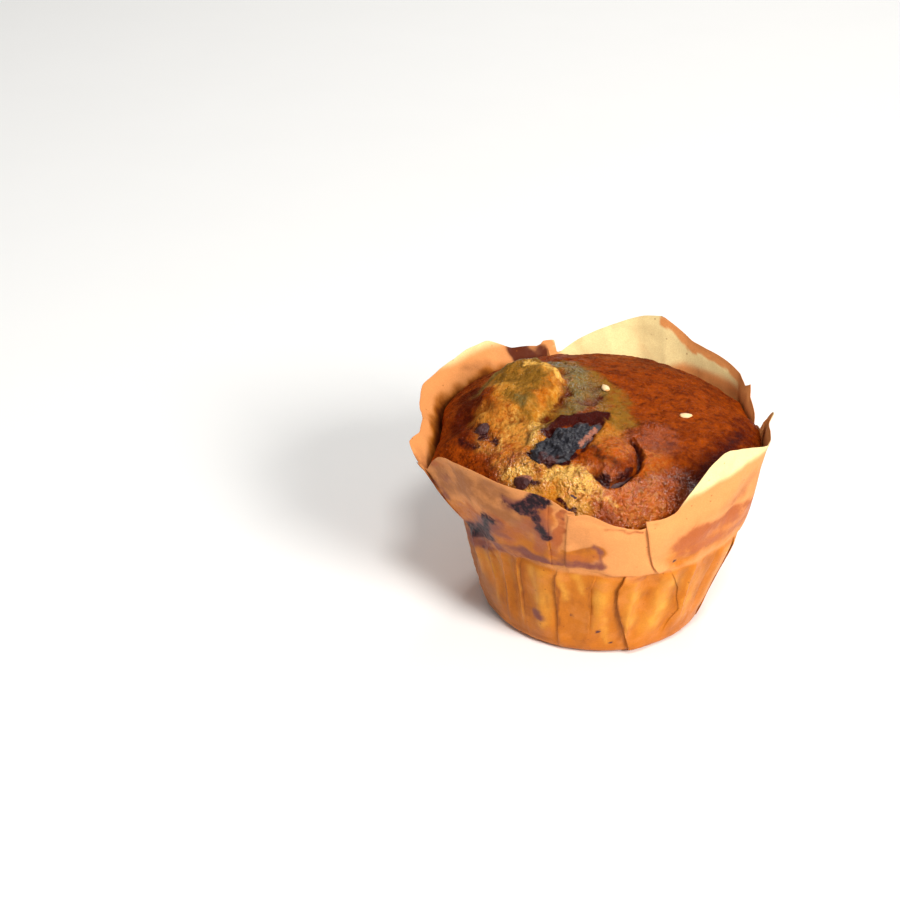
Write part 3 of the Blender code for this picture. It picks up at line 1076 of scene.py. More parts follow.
# The darkest greasy strips, with painted shade in the recess where the petals' inside meets the cake
SHADED_GREASE_STRIPS = (
    Stroke(((109.5, 40), (111.5, 48)), 1.6, 0.9, 2.0),
    Stroke(((113, 40), (116, 46), (119.5, 49.5)), 2.8, 1.0, 2.0),
    Stroke(((122, 42), (140, 43.4), (160, 43), (178, 41.6), (192, 40), (200, 39)), 2.6, 0.85, 4.4),
    Stroke(((133, 47), (143, 48)), 1.2, 0.35, 3.0),
)
# Where the back petal is dry but warmer than its pale middle
WARM = (
    Stroke(((13, 46.8), (24, 48.4), (27, 52)), 1.8, 1.0, 1.6),
    Stroke(((27, 51), (43, 53.4), (57, 54.4), (66, 58)), 2.2, 1.0, 1.2),
    Stroke(((36, 46), (50, 47), (60, 46)), 1.0, 0.4, 5.0),
    Stroke(((68, 44), (75, 49), (79, 54)), 0.6, 0.4, 4.0),
    Stroke(((93, 44), (97, 50)), 1.0, 0.45, 4.0),
    Stroke(((2, 46), (10, 50)), 1.4, 0.5, 4.0),
    Stroke(((311, 45), (318, 48), (330, 49)), 1.4, 0.45, 3.0),
)
# Azimuth and the height above which the paper is dry and pale
DRY = (
    (0, 51), (10, 50), (25, 49), (40, 49), (60, 48), (70, 45), (80, 43), (95, 42), (104, 47), (112, 60),
    (125, 51), (150, 50.5), (180, 54), (200, 60), (220, 62), (260, 62), (290, 58), (303, 46), (309, 48.5),
    (316, 51), (330, 51.5), (345, 50.5), (360, 51),
)
# Where the butter has soaked the petals
SOAK = (
    Stroke(((200, 28), (214, 31), (236, 33), (252, 34)), 5.0, 0.9, 4.0),
    Stroke(((240, 35), (249, 39), (255, 45)), 3.5, 0.85, 3.0),
    Stroke(((256, 31.5), (265, 33), (272, 35)), 2.2, 0.95, 1.6),
    Stroke(((304, 31.5), (320, 33.5), (344, 33)), 4.0, 0.8, 5.0),
    Stroke(((20, 30), (50, 32), (90, 31)), 3.5, 0.8, 3.0),
    Stroke(((125, 31), (150, 33), (185, 32)), 4.0, 0.8, 3.0),
    Stroke(((350, 31), (10, 33)), 3.5, 0.8, 3.0),
    Stroke(((118, 43), (140, 43.5), (165, 43), (188, 41), (202, 39)), 3.0, 0.9, 3.0),
)
# Painted light: golden highlights on the greasy lower wall between its folds, broadest on its right side
PAINTED_LIGHT_STREAKS = (
    Stroke(((216, 22.5), (216, 17)), 0.5, 0.8, 3.6),
    Stroke(((225, 23.5), (225, 17)), 0.5, 0.8, 3.6),
    Stroke(((232, 24.5), (232.5, 18)), 0.5, 0.8, 4.0),
    Stroke(((245, 25), (246, 15)), 0.7, 0.95, 4.4),
    Stroke(((257, 25.5), (258.5, 18)), 0.6, 1.0, 3.6),
    Stroke(((262.5, 26), (265.5, 21)), 0.5, 1.0, 3.0),
    Stroke(((275, 14), (279, 5)), 0.8, 0.9, 4.4),
    Stroke(((286, 22), (290, 12)), 2.0, 0.6, 6.0),
    Stroke(((304, 22), (299, 9)), 3.0, 0.75, 8.0),
    Stroke(((320, 20), (317, 10)), 2.0, 0.6, 8.0),
    Stroke(((40, 22), (41, 12)), 1.6, 0.6, 2.4),
    Stroke(((92, 24), (92, 14)), 1.6, 0.6, 2.4),
    Stroke(((143, 24), (143, 12)), 1.6, 0.6, 2.4),
    Stroke(((178, 22), (179, 10)), 1.6, 0.5, 2.4),
)
# Vertical shadows of the folds behind the greasy paper
SHADE = (
    Stroke(((238.6, 25), (239.6, 9)), 1.2, 0.65, 2.4),
    Stroke(((254.6, 26), (255.6, 9)), 0.4, 0.8, 1.4),
    Stroke(((222, 25), (227.5, 17), (226, 9)), 0.8, 0.5, 2.0),
    Stroke(((249, 25), (250, 14)), 0.5, 0.4, 1.6),
    Stroke(((208, 24), (204, 10)), 1.5, 0.5, 2.4),
    Stroke(((196, 20), (203, 8)), 5.0, 0.35, 8.0),
    Stroke(((262, 40), (260, 34)), 0.5, 0.35, 1.4),
    Stroke(((210, 2.2), (240, 2.6), (262, 1.6), (275, 0.8)), 0.3, 0.7, 2.4),
    Stroke(((268.8, 25), (269.8, 14)), 0.3, 0.6, 1.0),
    Stroke(((279, 23), (281.5, 14), (286, 7)), 0.4, 0.6, 1.2),
    Stroke(((283, 12), (286, 9), (284, 5)), 1.0, 0.3, 2.0),
)


@dataclass
class PaperCase:
    """One square of parchment pressed and pleated into a cup with four standing petals.

    Attributes:
        cup: The shape that the paper follows.
        thickness: How thick the paper is drawn.
        plain_columns: Columns of the mesh all round, before the pleats take some of them.
        rows: Rows of the mesh on the flat base, its rounded edge, the lower wall and the petals.
        half: Half the run of paper that a pleat's section takes.
        curl: How far the cut edge turns outwards.
        pleats: The pleats.
    """

    cup: Cup
    thickness: float = 0.10
    plain_columns: int = 300
    rows: tuple = (5, 4, 36, 46)
    half: float = 1.0
    curl: float = 0.35
    pleats: tuple = LOWER_PLEATS + UPPER_PLEATS

    # A pleat's section: the run from its edge where the paper is flat, the run where it is folded, how
    # much of the tuck is added to it, and the lift as a share of the pleat's
    SECTION = (
        (-1.0, -1.0, 0.0, 0.96), (-0.8, -0.5, 0.0, 1.0), (-0.55, -0.12, 0.0, 1.0), (-0.33, 0.0, 0.0, 0.86),
        (-0.11, -0.04, 0.0, 0.56), (0.11, 0.0, -1.0, 0.40), (0.33, 0.1, -1.0, 0.08), (0.55, -0.1, 0.0, 0.0),
        (0.8, 0.4, 0.0, 0.0), (1.0, 0.95, 0.0, 0.0),
    )
    # The flat facets of creased paper: the direction of their creases, their size and their height
    FACETS = ((24, 15.0, 0.30), (97, 19.0, 0.34), (151, 12.0, 0.20))
    # The left petal's hollow: its azimuth, its level, how much of the levels it takes and its depth
    HOLLOW = (155.0, 1.72, 0.13, 1.5)
    ROOM = 1.25  # the run that a pleat keeps free beside it, in halves
    KEPT = 1.12  # the same for the plain columns of the mesh
    APART = 2.3  # how far pleats' columns stay from each other, in halves
    ROOM_ROUNDS = 60  # rounds in which the pleats make room for each other
    APART_ROUNDS = 200  # rounds in which their columns do

    def levels(self) -> np.ndarray:
        """The levels of the mesh's rows, from the base's middle to the rim."""
        base, round_edge, wall, petals = self.rows
        return np.concatenate([
            np.linspace(-1.0, 0.0, base, endpoint=False), np.linspace(0.0, HEEL, round_edge, endpoint=False),
            np.linspace(HEEL, 1.0, wall, endpoint=False), np.linspace(1.0, 2.0, petals + 1),
        ])

    def push(self, azimuth: np.ndarray, level: np.ndarray, height: np.ndarray) -> np.ndarray:
        """How far creases, crumples and the waist move the paper outwards, in millimetres.

        Args:
            azimuth: Where the places are.
            level: Their levels.
            height: Their heights.

        Returns:
            The moves.
        """
        place = unrolled(azimuth, height)
        spot = self.cup.face(azimuth, level)
        moved = np.zeros(level.shape)
        for crease in CREASES:
            reach = crease.width + crease.soft
            moved += crease.strength * np.clip(1.0 - crease.away(place, unrolled) / reach, 0.0, 1.0)
        petal = ease(level, 1.0, 1.25)
        wall = ease(level, 0.0, 0.35)
        moved += 0.30 * Noise(3).smooth(spot, 17.0) * wall
        moved += self._facets(place) * (0.35 + 0.65 * petal) * wall
        moved += 0.05 * Noise(5).layered(spot, 3.2, 2) * wall
        moved += self._soft_folds(place) * ease(level, 0.10, 0.4) * ease(level, 1.08, 0.9)
        moved += self._waist(azimuth, height)
        moved += self.curl * ease(level, 1.9, 2.0)
        hollow_azimuth, hollow_level, extent, depth = self.HOLLOW
        flare = ease(np.abs(apart(azimuth, hollow_azimuth)), 52.0, 30.0)
        moved -= depth * flare * np.exp(-((level - hollow_level) / extent) ** 2)
        return moved

    def _soft_folds(self, place: np.ndarray) -> np.ndarray:
        """The upright folds that the tin pressed into the lower wall, in millimetres.

        Args:
            place: Places on the unrolled wall.

        Returns:
            How far they stand out there.
        """
        spot = np.stack([place[..., 0] / 5.2, place[..., 1] / 30.0, np.zeros(place.shape[:-1])], axis=-1)
        sharp = 1.0 - 2.4 * np.abs(Noise(12).smooth(spot, 1.0))
        return 0.72 * sharp + 0.50 * Noise(14).smooth(spot, 0.8)

    def _waist(self, azimuth: np.ndarray, height: np.ndarray) -> np.ndarray:
        """The crease at the waist, which wavers and which the paper above laps, in millimetres.

        Args:
            azimuth: Where the places are.
            height: Their heights.

        Returns:
            How far the paper stands out there.
        """
        turns, heights, laps = zip(*WAIST)
        line = np.interp(azimuth, turns, heights, period=360)
        lap = np.interp(azimuth, turns, laps, period=360)
        over = height - line
        pressed = 0.7 * np.exp(-((over + 0.45) / 0.6) ** 2)
        return lap * (ease(over, -0.15, 0.35) * ease(over, 6.0, 0.5) - pressed)

    def _facets(self, place: np.ndarray) -> np.ndarray:
        """The flat facets of creased paper, as a height in millimetres.

        Args:
            place: Places on the unrolled wall.

        Returns:
            How far the paper stands out there.
        """
        spot = np.concatenate([place, np.zeros_like(place[..., :1])], axis=-1)
        total = np.zeros(place.shape[:-1])
        for number, (turn, size, height) in enumerate(self.FACETS):
            run = place @ np.array([math.cos(math.radians(turn)), math.sin(math.radians(turn))])
            run = run / size + 0.35 * Noise(20 + number).smooth(spot, 26.0) + 0.37 * number
            here = ease(Noise(30 + number).smooth(spot, 15.0), -0.3, 0.4)
            total += height * here * (4.0 * np.abs(run % 1.0 - 0.5) - 1.0)
        return total

    def _edges(self, levels: np.ndarray) -> tuple[np.ndarray, np.ndarray]:
        """Where each pleat's edge runs, with those that have faded out making room for the others.

        Args:
            levels: The levels of the rows.

        Returns:
            The azimuth and the share of each pleat at each level, in rows by pleat.
        """
        rows, shares = [], []
        for pleat in self.pleats:
            start = pleat.line[0][0]
            start = start if start >= SEAM else start + 360.0
            azimuths = [start + float(apart(azimuth, start)) for azimuth, _ in pleat.line]
            top = np.full(levels.shape, azimuths[-1])
            heights = [height for _, height in pleat.line]
            rows.append(np.interp(self.cup.height_at(top, levels), heights, azimuths))
            shares.append(pleat.fade(levels))
        edges, shares = np.array(rows), np.array(shares)
        room = math.degrees(self.half / UNROLL) * self.ROOM
        for _ in range(self.ROOM_ROUNDS):
            for first in range(len(edges)):
                second = (first + 1) % len(edges)
                gap = edges[second] - edges[first] + (360.0 if second == 0 else 0.0)
                lack = np.maximum(0.0, room * (shares[first] + shares[second]) + 0.5 - gap)
                yielding = (1.05 - shares[first]) / (2.1 - shares[first] - shares[second])
                edges[first] -= lack * yielding
                edges[second] += lack * (1.0 - yielding)
        return edges, shares

    def lay_out(self) -> tuple[np.ndarray, np.ndarray]:
        """Fold the sheet.

        Returns:
            The points of its outer face in metres, in rows by column, and their azimuths.
        """
        levels = self.levels()
        order = np.argsort([(pleat.line[0][0] - SEAM) % 360.0 for pleat in self.pleats])
        self.pleats = tuple(self.pleats[number] for number in order)
        edges, shares = self._edges(levels)
        half = math.degrees(self.half / UNROLL)
        nominal = edges[:, int(np.argmin(np.abs(levels - 1.0)))].copy()
        for _ in range(self.APART_ROUNDS):
            for first in range(len(nominal) - 1):
                lack = max(0.0, self.APART * half - nominal[first + 1] + nominal[first]) / 2.0
                nominal[first] -= lack
                nominal[first + 1] += lack

        columns = []
        for number, middle in enumerate(nominal):
            columns += [(middle + flat / self.half * half, number, step)
                        for step, (flat, _, _, _) in enumerate(self._section(self.pleats[number]))]
        start = nominal[0] - 1.4 * half
        for turn in start + np.arange(self.plain_columns) * 360.0 / self.plain_columns:
            if np.min(np.abs(apart(nominal, turn))) > self.KEPT * half:
                columns.append((turn, -1, 0))
        columns.sort()
        columns.append((columns[0][0] + 360.0, *columns[0][1:]))

        turns = np.array([column[0] for column in columns])
        keys = np.concatenate([nominal[-1:] - 360.0, nominal, nominal[:1] + 360.0])
        azimuth = np.empty((len(levels), len(turns)))
        for row in range(len(levels)):
            here = edges[:, row]
            azimuth[row] = np.interp(turns, keys, np.concatenate([here[-1:] - 360.0, here, here[:1] + 360.0]))
        rim_azimuth = np.repeat(azimuth[-1:], len(levels), axis=0)
        level = np.repeat(levels[:, None], len(turns), axis=1)
        radius = np.linalg.norm(self.cup.face(azimuth, level)[..., :2], axis=-1) + 1.0

        lift = np.zeros(azimuth.shape)
        for number, pleat in enumerate(self.pleats):
            own = np.array([column[1] == number for column in columns])
            run = np.radians(apart(azimuth, edges[number][:, None])) * radius * pleat.side
            rising = np.where(run < 0.0, ease(run, -pleat.ramp, -0.4 * self.half), 0.0)
            share = shares[number][:, None]
            lift += np.where(own[None, :], 0.0, rising * pleat.lift * share)
            for index in np.flatnonzero(own):
                _, folded, tucked, high = self._section(pleat)[columns[index][2]]
                run_to = folded + tucked * pleat.tuck * pleat.side
                turned = edges[number] + np.degrees(run_to / radius[:, index])
                azimuth[:, index] += (turned - azimuth[:, index]) * shares[number]
                lift[:, index] += high * pleat.lift * shares[number]

        points = self.cup.face(azimuth, level, rim_azimuth=rim_azimuth)
        moved = self.push(azimuth, level, points[..., 2]) + lift
        points += level_turn(azimuth) * (moved * ease(level, -0.02, 0.12))[..., None]
        under = ease(level, 0.0, -0.15) * ease(level, -1.0, -0.8)
        points[..., 2] += under * 0.25 * (1.0 + Noise(8).smooth(points, 7.0))
        return points * MM, azimuth

    def _section(self, pleat: Pleat) -> tuple:
        """The pleat's section with its runs along growing azimuths."""
        if pleat.side > 0:
            return self.SECTION
        return tuple((-flat, -folded, tucked, high) for flat, folded, tucked, high in reversed(self.SECTION))

    def build(self, finish: PaperFinish) -> bpy.types.Object:
        """Fold the sheet from a flat grid, give it its thickness and dress it.

        Args:
            finish: The finish of the paper.

        Returns:
            The paper case.
        """
        points, azimuth = self.lay_out()
        rows, columns = azimuth.shape
        free_selection()
        bpy.ops.mesh.primitive_grid_add(x_subdivisions=columns - 1, y_subdivisions=rows - 1, size=2.0)
        case = bpy.context.object
        flat = points_of(case)
        column = np.rint((flat[:, 0] + 1.0) / 2.0 * (columns - 1)).astype(int)
        row = np.rint((flat[:, 1] + 1.0) / 2.0 * (rows - 1)).astype(int)
        move_points(case, points[row, column])
        self._stain(case, azimuth[row, column], points[row, column, 2] / MM)
        merge_doubles(case)
        wall = case.modifiers.new("wall", "SOLIDIFY")
        wall.thickness = self.thickness * MM
        wall.offset = -1.0
        apply_modifiers(case)
        bpy.ops.object.shade_smooth_by_angle(angle=math.radians(50.0))
        settle(case, "paper_case", finish.make())
        return case

    def _stain(self, case: bpy.types.Object, azimuth: np.ndarray, height: np.ndarray) -> None:
        """Store how soaked, browned and stained each point of the paper is, and where shade and light are
        painted on it.

        Args:
            case: The paper case.
            azimuth: The azimuths of its points.
            height: Their heights, in millimetres.
        """
        place = unrolled(azimuth, height)
        spot = np.concatenate([place, np.zeros_like(place[:, :1])], axis=1)
        waver = np.stack([Noise(seed).layered(spot, 2.6, 2) for seed in (41, 43)], axis=1)
        place = place + 0.7 * waver
        stains = {"juice": JUICE, "mauve": MAUVE, "rust": RUST, "dull_and_shade": DULL_AND_SHADE, "shaded_grease": SHADED_GREASE_STRIPS}
        for name, strokes in stains.items():
            store(case, name, covered(strokes, place, unrolled))
        # Painted shade in the valleys of the soft folds and painted light on their ridges
        fold = self._soft_folds(place) * ease(height, 3.0, 8.0) * ease(height, 28.0, 25.0)
        store(case, "shade", np.maximum(covered(SHADE, place, unrolled), 0.60 * ease(fold, 0.05, -0.9)))
        store(case, "painted_light", np.maximum(covered(PAINTED_LIGHT_STREAKS, place, unrolled), 0.55 * ease(fold, 0.15, 0.9)))
        waist = self.cup.waist_height
        below = ease(height, waist + 1.0, waist - 1.0)
        store(case, "soak", np.maximum(covered(SOAK, place, unrolled), below))
        store(case, "cream", self._dryness(azimuth, height) * (1.0 - covered(WARM, place, unrolled)))

    def _dryness(self, azimuth: np.ndarray, height: np.ndarray) -> np.ndarray:
        """How pale the paper is: the tips of the petals at the back and the right stayed dry."""
        start = np.interp(azimuth % 360.0, *zip(*DRY))
        return ease(height, start - 2.0, start + 2.5)


# ---------------------------------------------------------------- the cake


# Soft patches of the crown's colours, by X and Y
GOLD = (
    Stroke(((-22, 5), (-18, -4), (-20, -14), (-14, -28)), 7.5, 0.95, 5.0),
    Stroke(((-14, -31), (-4, -33)), 4.4, 0.9, 4.0),
    Stroke(((-29, -8), (-26, -18)), 3.0, 0.6, 4.0),
    Stroke(((2, -20), (1, -10)), 4.0, 0.5, 5.0),
)
PALE = (
    Stroke(((-12.6, 1.4), (-15.6, 5.4), (-20, 8.4)), 0.7, 0.9, 2.2),
    Stroke(((-15.6, -22), (-16.6, -14), (-15, -11)), 1.0, 0.7, 2.6),
    Stroke(((-11, -30), (-3, -31.8)), 2.4, 0.75, 3.4),
    Stroke(((-2, -33.4), (4, -34.6)), 1.0, 0.5, 3.0),
    # A painted highlight: the glossy pinkish spot at the front left
    Stroke(((-20.6, -28), (-16.6, -29)), 1.0, 0.8, 2.0),
    Stroke(((-22, -12), (-24, -20)), 1.4, 0.45, 3.0),
    Stroke(((-3.6, -13), (-2.8, -16)), 0.5, 0.5, 1.4),
)
ORANGE = (
    Stroke(((-24, -8), (-19, -18), (-12, -29)), 5.0, 0.42, 8.0),
    Stroke(((-25, -16), (-20, -24)), 3.6, 0.55, 5.0),
    Stroke(((-4, -31), (4, -34), (12, -33)), 3.4, 0.9, 4.0),
    Stroke(((3, -20), (2, -25)), 2.8, 0.8, 3.0),
    Stroke(((11, -28), (12, -20)), 3.0, 0.7, 6.0),
    Stroke(((-14, 0), (-16, -8)), 1.8, 0.6, 3.0),
)
OLIVE = (
    Stroke(((-23, 5), (-19, -1)), 5.5, 0.9, 6.0),
    Stroke(((-10, 12), (-4, 4), (1, -2), (2, -8)), 5.0, 0.9, 5.0),
    Stroke(((-20, 9), (-12, 12)), 4.0, 0.8, 4.0),
    Stroke(((-22, -5), (-19, -9)), 3.4, 0.75, 4.0),
    Stroke(((-12, -9), (-14, -14)), 3.0, 0.7, 4.0),
)
GREEN = (
    Stroke(((-7.6, 11), (-8.4, 3), (-6.6, -4), (-9, -9)), 2.7, 1.0, 3.4),
    Stroke(((-26, 11), (-14, 13), (-8, 11)), 2.4, 1.0, 3.6),
    Stroke(((-5, 3), (-2, 0)), 2.4, 0.9, 3.0),
    Stroke(((-21, -7), (-20, -9)), 1.6, 0.8, 2.0),
    Stroke(((-31, 4), (-27, 9), (-22, 11)), 1.6, 0.8, 2.0),
    Stroke(((-14, -12), (-17, -19)), 1.8, 0.6, 3.0),
)
# Burnt crust at the edges, with painted shade where the crown meets the paper and the right petal's painted
# shadow
BURN_AND_SHADE = (
    Stroke(((-33, 6), (-34, -4), (-33.6, -12)), 3.0, 0.9, 4.0),
    Stroke(((31, -8), (27, -16), (22, -26)), 2.6, 0.95, 8.0),
    Stroke(((-24, -13), (-20, -12.4)), 0.6, 0.5, 2.0),
    Stroke(((34, 4), (33, -8)), 4.0, 0.6, 5.0),
    Stroke(((-1, 7), (3, 6)), 1.0, 0.6, 1.6),
    Stroke(((18, 0.5), (20, -0.5)), 1.0, 0.5, 1.4),
    Stroke(((10, 30), (20, 27), (28, 20)), 5.0, 0.45, 8.0),
    Stroke(((-28, 24), (-36, 12)), 3.0, 0.6, 5.0),
)
JUICE_AND_SHADOW_STROKES = (
    Stroke(((-12.4, -16.5), (-9, -13.2), (-5.4, -11.6), (-2.4, -11.2)), 2.2, 1.0, 1.6),
    Stroke(((-15.5, -24.5), (-12, -26.6), (-6, -26)), 1.5, 0.95, 1.6),
    Stroke(((-9, -12.5), (-4.5, -10.2), (0.6, -9.2)), 1.6, 1.0, 2.0),
    Stroke(((-13.5, -16.5), (-11, -13.5)), 0.9, 0.6, 2.6),
    Stroke(((0.4, -9.6), (-1.2, -12.5), (-2.4, -18), (-3.6, -24)), 0.8, 0.85, 1.8),
    Stroke(((-29.4, -12.4), (-28.2, -14.6)), 1.3, 0.95, 1.8),
    Stroke(((-28, -15), (-25, -18.5)), 0.5, 0.75, 1.4),
    Stroke(((-34, -15), (-31, -17), (-29, -17.6)), 0.9, 0.75, 2.4),
    Stroke(((-19, -31.5), (-14, -32)), 0.8, 0.8, 1.8),
    Stroke(((-9, -36.2), (-5.4, -36.4)), 0.5, 0.9, 1.0),
    Stroke(((-1, -22), (0, -26), (4, -27)), 0.9, 0.6, 2.4),
    Stroke(((7.4, -17.6), (9.0, -21), (8.2, -25.4), (6.2, -28.6), (3.4, -30.8), (-0.6, -29.6)), 0.55, 0.95,
           1.3),
    # Painted shadow of the right petal on the crown's right side
    Stroke(((32, -4), (28, -14), (22, -26)), 1.4, 0.75, 5.0),
)
WET = (
    Stroke(((-3, -33), (10, -34), (18, -28)), 5.0, 1.0, 5.0),
    Stroke(((-22, 12), (-10, 13), (-6, 6)), 3.0, 0.6, 5.0),
    Stroke(((-28, -14), (-24, -22)), 3.0, 0.5, 5.0),
    Stroke(((-20, -27), (-14, -31)), 4.0, 1.0, 4.0),
    Stroke(((-16, -16), (-13, -28), (-5, -31)), 2.5, 0.7, 5.0),
    Stroke(((-8, 4), (-4, -4)), 5.0, 0.5, 5.0),
    Stroke(((6, -20), (12, -14)), 6.0, 0.5, 8.0),
)
# Grooves below 0 and ridges above it, in the crown's skin
GROOVES = (
    Stroke(((7.2, -17.4), (8.9, -20.6), (8.6, -24.4), (6.9, -27.8), (4.2, -30.2)), 0.1, -2.3, 1.15),
    Stroke(((3.8, -30.6), (1.2, -30.8), (-1.4, -29.2)), 0.1, -1.9, 1.3),
    Stroke(((-11.2, 6), (-10.4, -1), (-12.4, -8), (-14.6, -12)), 0.6, -0.75, 2.6),
    Stroke(((-11.4, 7), (-16, 12.4), (-22, 13.6)), 0.5, -0.7, 2.6),
    Stroke(((-13.6, -12.4), (-20, -13.6), (-26, -10.6)), 0.4, -0.35, 3.0),
    Stroke(((-3, 6), (-2, 0), (-5, -7)), 0.4, -0.45, 2.4),
    Stroke(((-34, -4), (-31, -12), (-29, -13.4)), 0.4, -0.6, 2.0),
    Stroke(((-28, -14), (-25, -18.4)), 0.2, -0.5, 1.4),
    Stroke(((-14, 2), (-15.4, -4), (-17.6, -9)), 1.0, 0.7, 3.4),
    Stroke(((-14, 3.4), (-18, 8.6), (-23, 9.6)), 0.8, 0.6, 3.0),
    Stroke(((-4.4, -11.2), (-0.6, -8.2), (2.4, -8.6)), 0.3, 0.55, 1.4),
    Stroke(((-10, -12.4), (-15.5, -18.4), (-17.8, -24.4)), 0.2, 0.6, 1.8),
    Stroke(((-12.6, -24), (-8.6, -20.4), (-3.6, -14.6)), 2.6, -1.9, 2.4),
    Stroke(((-30, -9.6), (-26.4, -10)), 0.3, 0.7, 2.6),
    Stroke(((-20, -27), (-14, -27.6)), 0.3, 0.8, 2.4),
    Stroke(((-9, -31.6), (-3, -31.4)), 0.3, 0.8, 2.4),
    Stroke(((0.2, -13.6), (-1.6, -19), (-3.6, -24.8)), 0.4, 0.6, 1.8),
)


@dataclass
class Cake:
    """The baked cake: it fills the cup, hugs the paper and ends in the lumpy crown.

    Attributes:
        paper: The case round it.
        segments: Columns of the mesh.
        rings: Rows of the mesh.
        middle: Where the crown's columns meet, by X and Y, near its finest detail.
        crown_top: Height of the plain crown.
        crown_middle: X of the plain crown's middle.
        inset: How far the cake lies inside the paper's outer face.
        edges: Azimuth and the height at which the crown leaves the paper.
        lumps: X, Y, width and rise of the crown's lumps.
    """

    paper: PaperCase
    segments: int = 448
    rings: int = 220
    middle: tuple = (-3.0, -19.0)
    crown_top: float = 56.0
    crown_middle: float = -3.0
    inset: float = 0.55
    edges: tuple = ((0, 45.0), (13, 45.0), (60, 45.0), (104, 44.0), (130, 43.2), (170, 42.0), (200, 41.0),
                    (250, 42.5), (289, 40.8), (310, 42.0), (340, 44.5))
    lumps: tuple = ((-14.0, 8.0, 13.0, 3.0), (-24.0, -4.0, 9.0, 1.2), (14.0, -6.0, 14.0, -1.2))

    CROWN_SHARE = 0.80  # of the mesh's rows
    WALL_SHARE = 0.94  # the row at which the wall ends and the base begins
    LOBE = (-20.5, 0.5, 10.0, 12.0, 1.5)  # X, Y, half-lengths along X and Y, and rise of the golden lobe
    HOOD = (2.4, -24.0, 6.2, 1.5)  # X, Y, radius and rise of the hood over the hidden berry
    STEEPEST = 1.5  # the slope past which the relief no longer turns outwards

    def edge_level(self, azimuth: np.ndarray) -> np.ndarray:
        """The wall's level at which the crown leaves the paper."""
        turns, heights = zip(*self.edges)
        return self.paper.cup.level_at(azimuth, np.interp(azimuth, turns, heights, period=360))

    def side(self, azimuth: np.ndarray, level: np.ndarray) -> np.ndarray:
        """Points of the cake's side, which follows the paper's folds that run inwards.

        Args:
            azimuth: Where the points are.
            level: Their levels.

        Returns:
            The points, in millimetres.
        """
        point = self.paper.cup.face(azimuth, level, self.inset)
        push = self.paper.push(azimuth, level, point[..., 2])
        inward = np.minimum(push, 0.1) * ease(level, 0.0, 0.2)
        return point + level_turn(azimuth) * inward[..., None]

    def plain_height(self, x: np.ndarray, y: np.ndarray) -> tuple[np.ndarray, np.ndarray]:
        """The height of the crown before its fine relief.

        Args:
            x: Along X, in millimetres.
            y: Along Y.

        Returns:
            The height, and how far out the place is, from 0 at the middle to 1 at the edge.
        """
        azimuth = np.degrees(np.arctan2(y, x - self.crown_middle)) % 360.0
        edge = self.paper.cup.face(azimuth, self.edge_level(azimuth), self.inset)
        reach = np.hypot(x - self.crown_middle, y) / np.hypot(edge[..., 0] - self.crown_middle, edge[..., 1])
        reach = np.clip(reach, 0.0, 1.0)
        height = edge[..., 2] + (self.crown_top - edge[..., 2]) * (1.0 - reach ** 2.5) ** 0.62
        for middle_x, middle_y, width, rise in self.lumps:
            away = np.hypot(x - middle_x, y - middle_y) / width
            height = height + rise * np.exp(-away * away) * np.clip(3.0 * (1.0 - reach), 0.0, 1.0)
        return height, reach

    def relief(self, x: np.ndarray, y: np.ndarray, reach: np.ndarray) -> np.ndarray:
        """How far the crown's skin stands off its plain shape, in millimetres.

        Args:
            x: Along X, in millimetres.
            y: Along Y.
            reach: How far out the place is, from 0 to 1 at the edge.

        Returns:
            The distances.
        """
        place = np.stack([x, y], axis=-1)
        spot = np.stack([x, y, np.zeros_like(x)], axis=-1)
        rag = np.stack([Noise(51).layered(spot, 3.0, 3), Noise(55).layered(spot, 3.0, 3)], axis=-1)
        warped = place + 0.55 * rag
        out = np.zeros(x.shape)
        lobe_x, lobe_y, half_x, half_y, lobe_rise = self.LOBE
        lobe = np.hypot((x - lobe_x) / half_x, (y - lobe_y) / half_y) + 0.10 * rag[..., 0]
        out += lobe_rise * ease(lobe, 1.10, 0.80)
        hood_x, hood_y, radius, hood_rise = self.HOOD
        hood = np.hypot(x - hood_x, y - hood_y) / radius
        out += hood_rise * ease(hood, 1.15, 0.1)
        for groove in GROOVES:
            out += groove.strength * ease(groove.away(warped), groove.width + groove.soft, groove.width * 0.3)
        rough = np.clip(covered(GOLD + ORANGE + GREEN + WET, place) + 0.4, 0.0, 1.0)
        out += (0.60 * Noise(61).layered(spot, 7.5, 2) + 0.36 * Noise(63).layered(spot, 2.8, 2)) * rough
        out += 0.26 * Noise(65).smooth(spot, 5.0) + 0.11 * Noise(66).layered(spot, 1.3, 2)
        out += 0.45 * (0.5 - Noise(68).cells(spot, 2.3)) * rough
        pits = Noise(67).cells(spot, 3.6)
        out -= 0.45 * ease(pits, 0.24, 0.08) * rough
        return out * ease(reach, 1.0, 0.93)

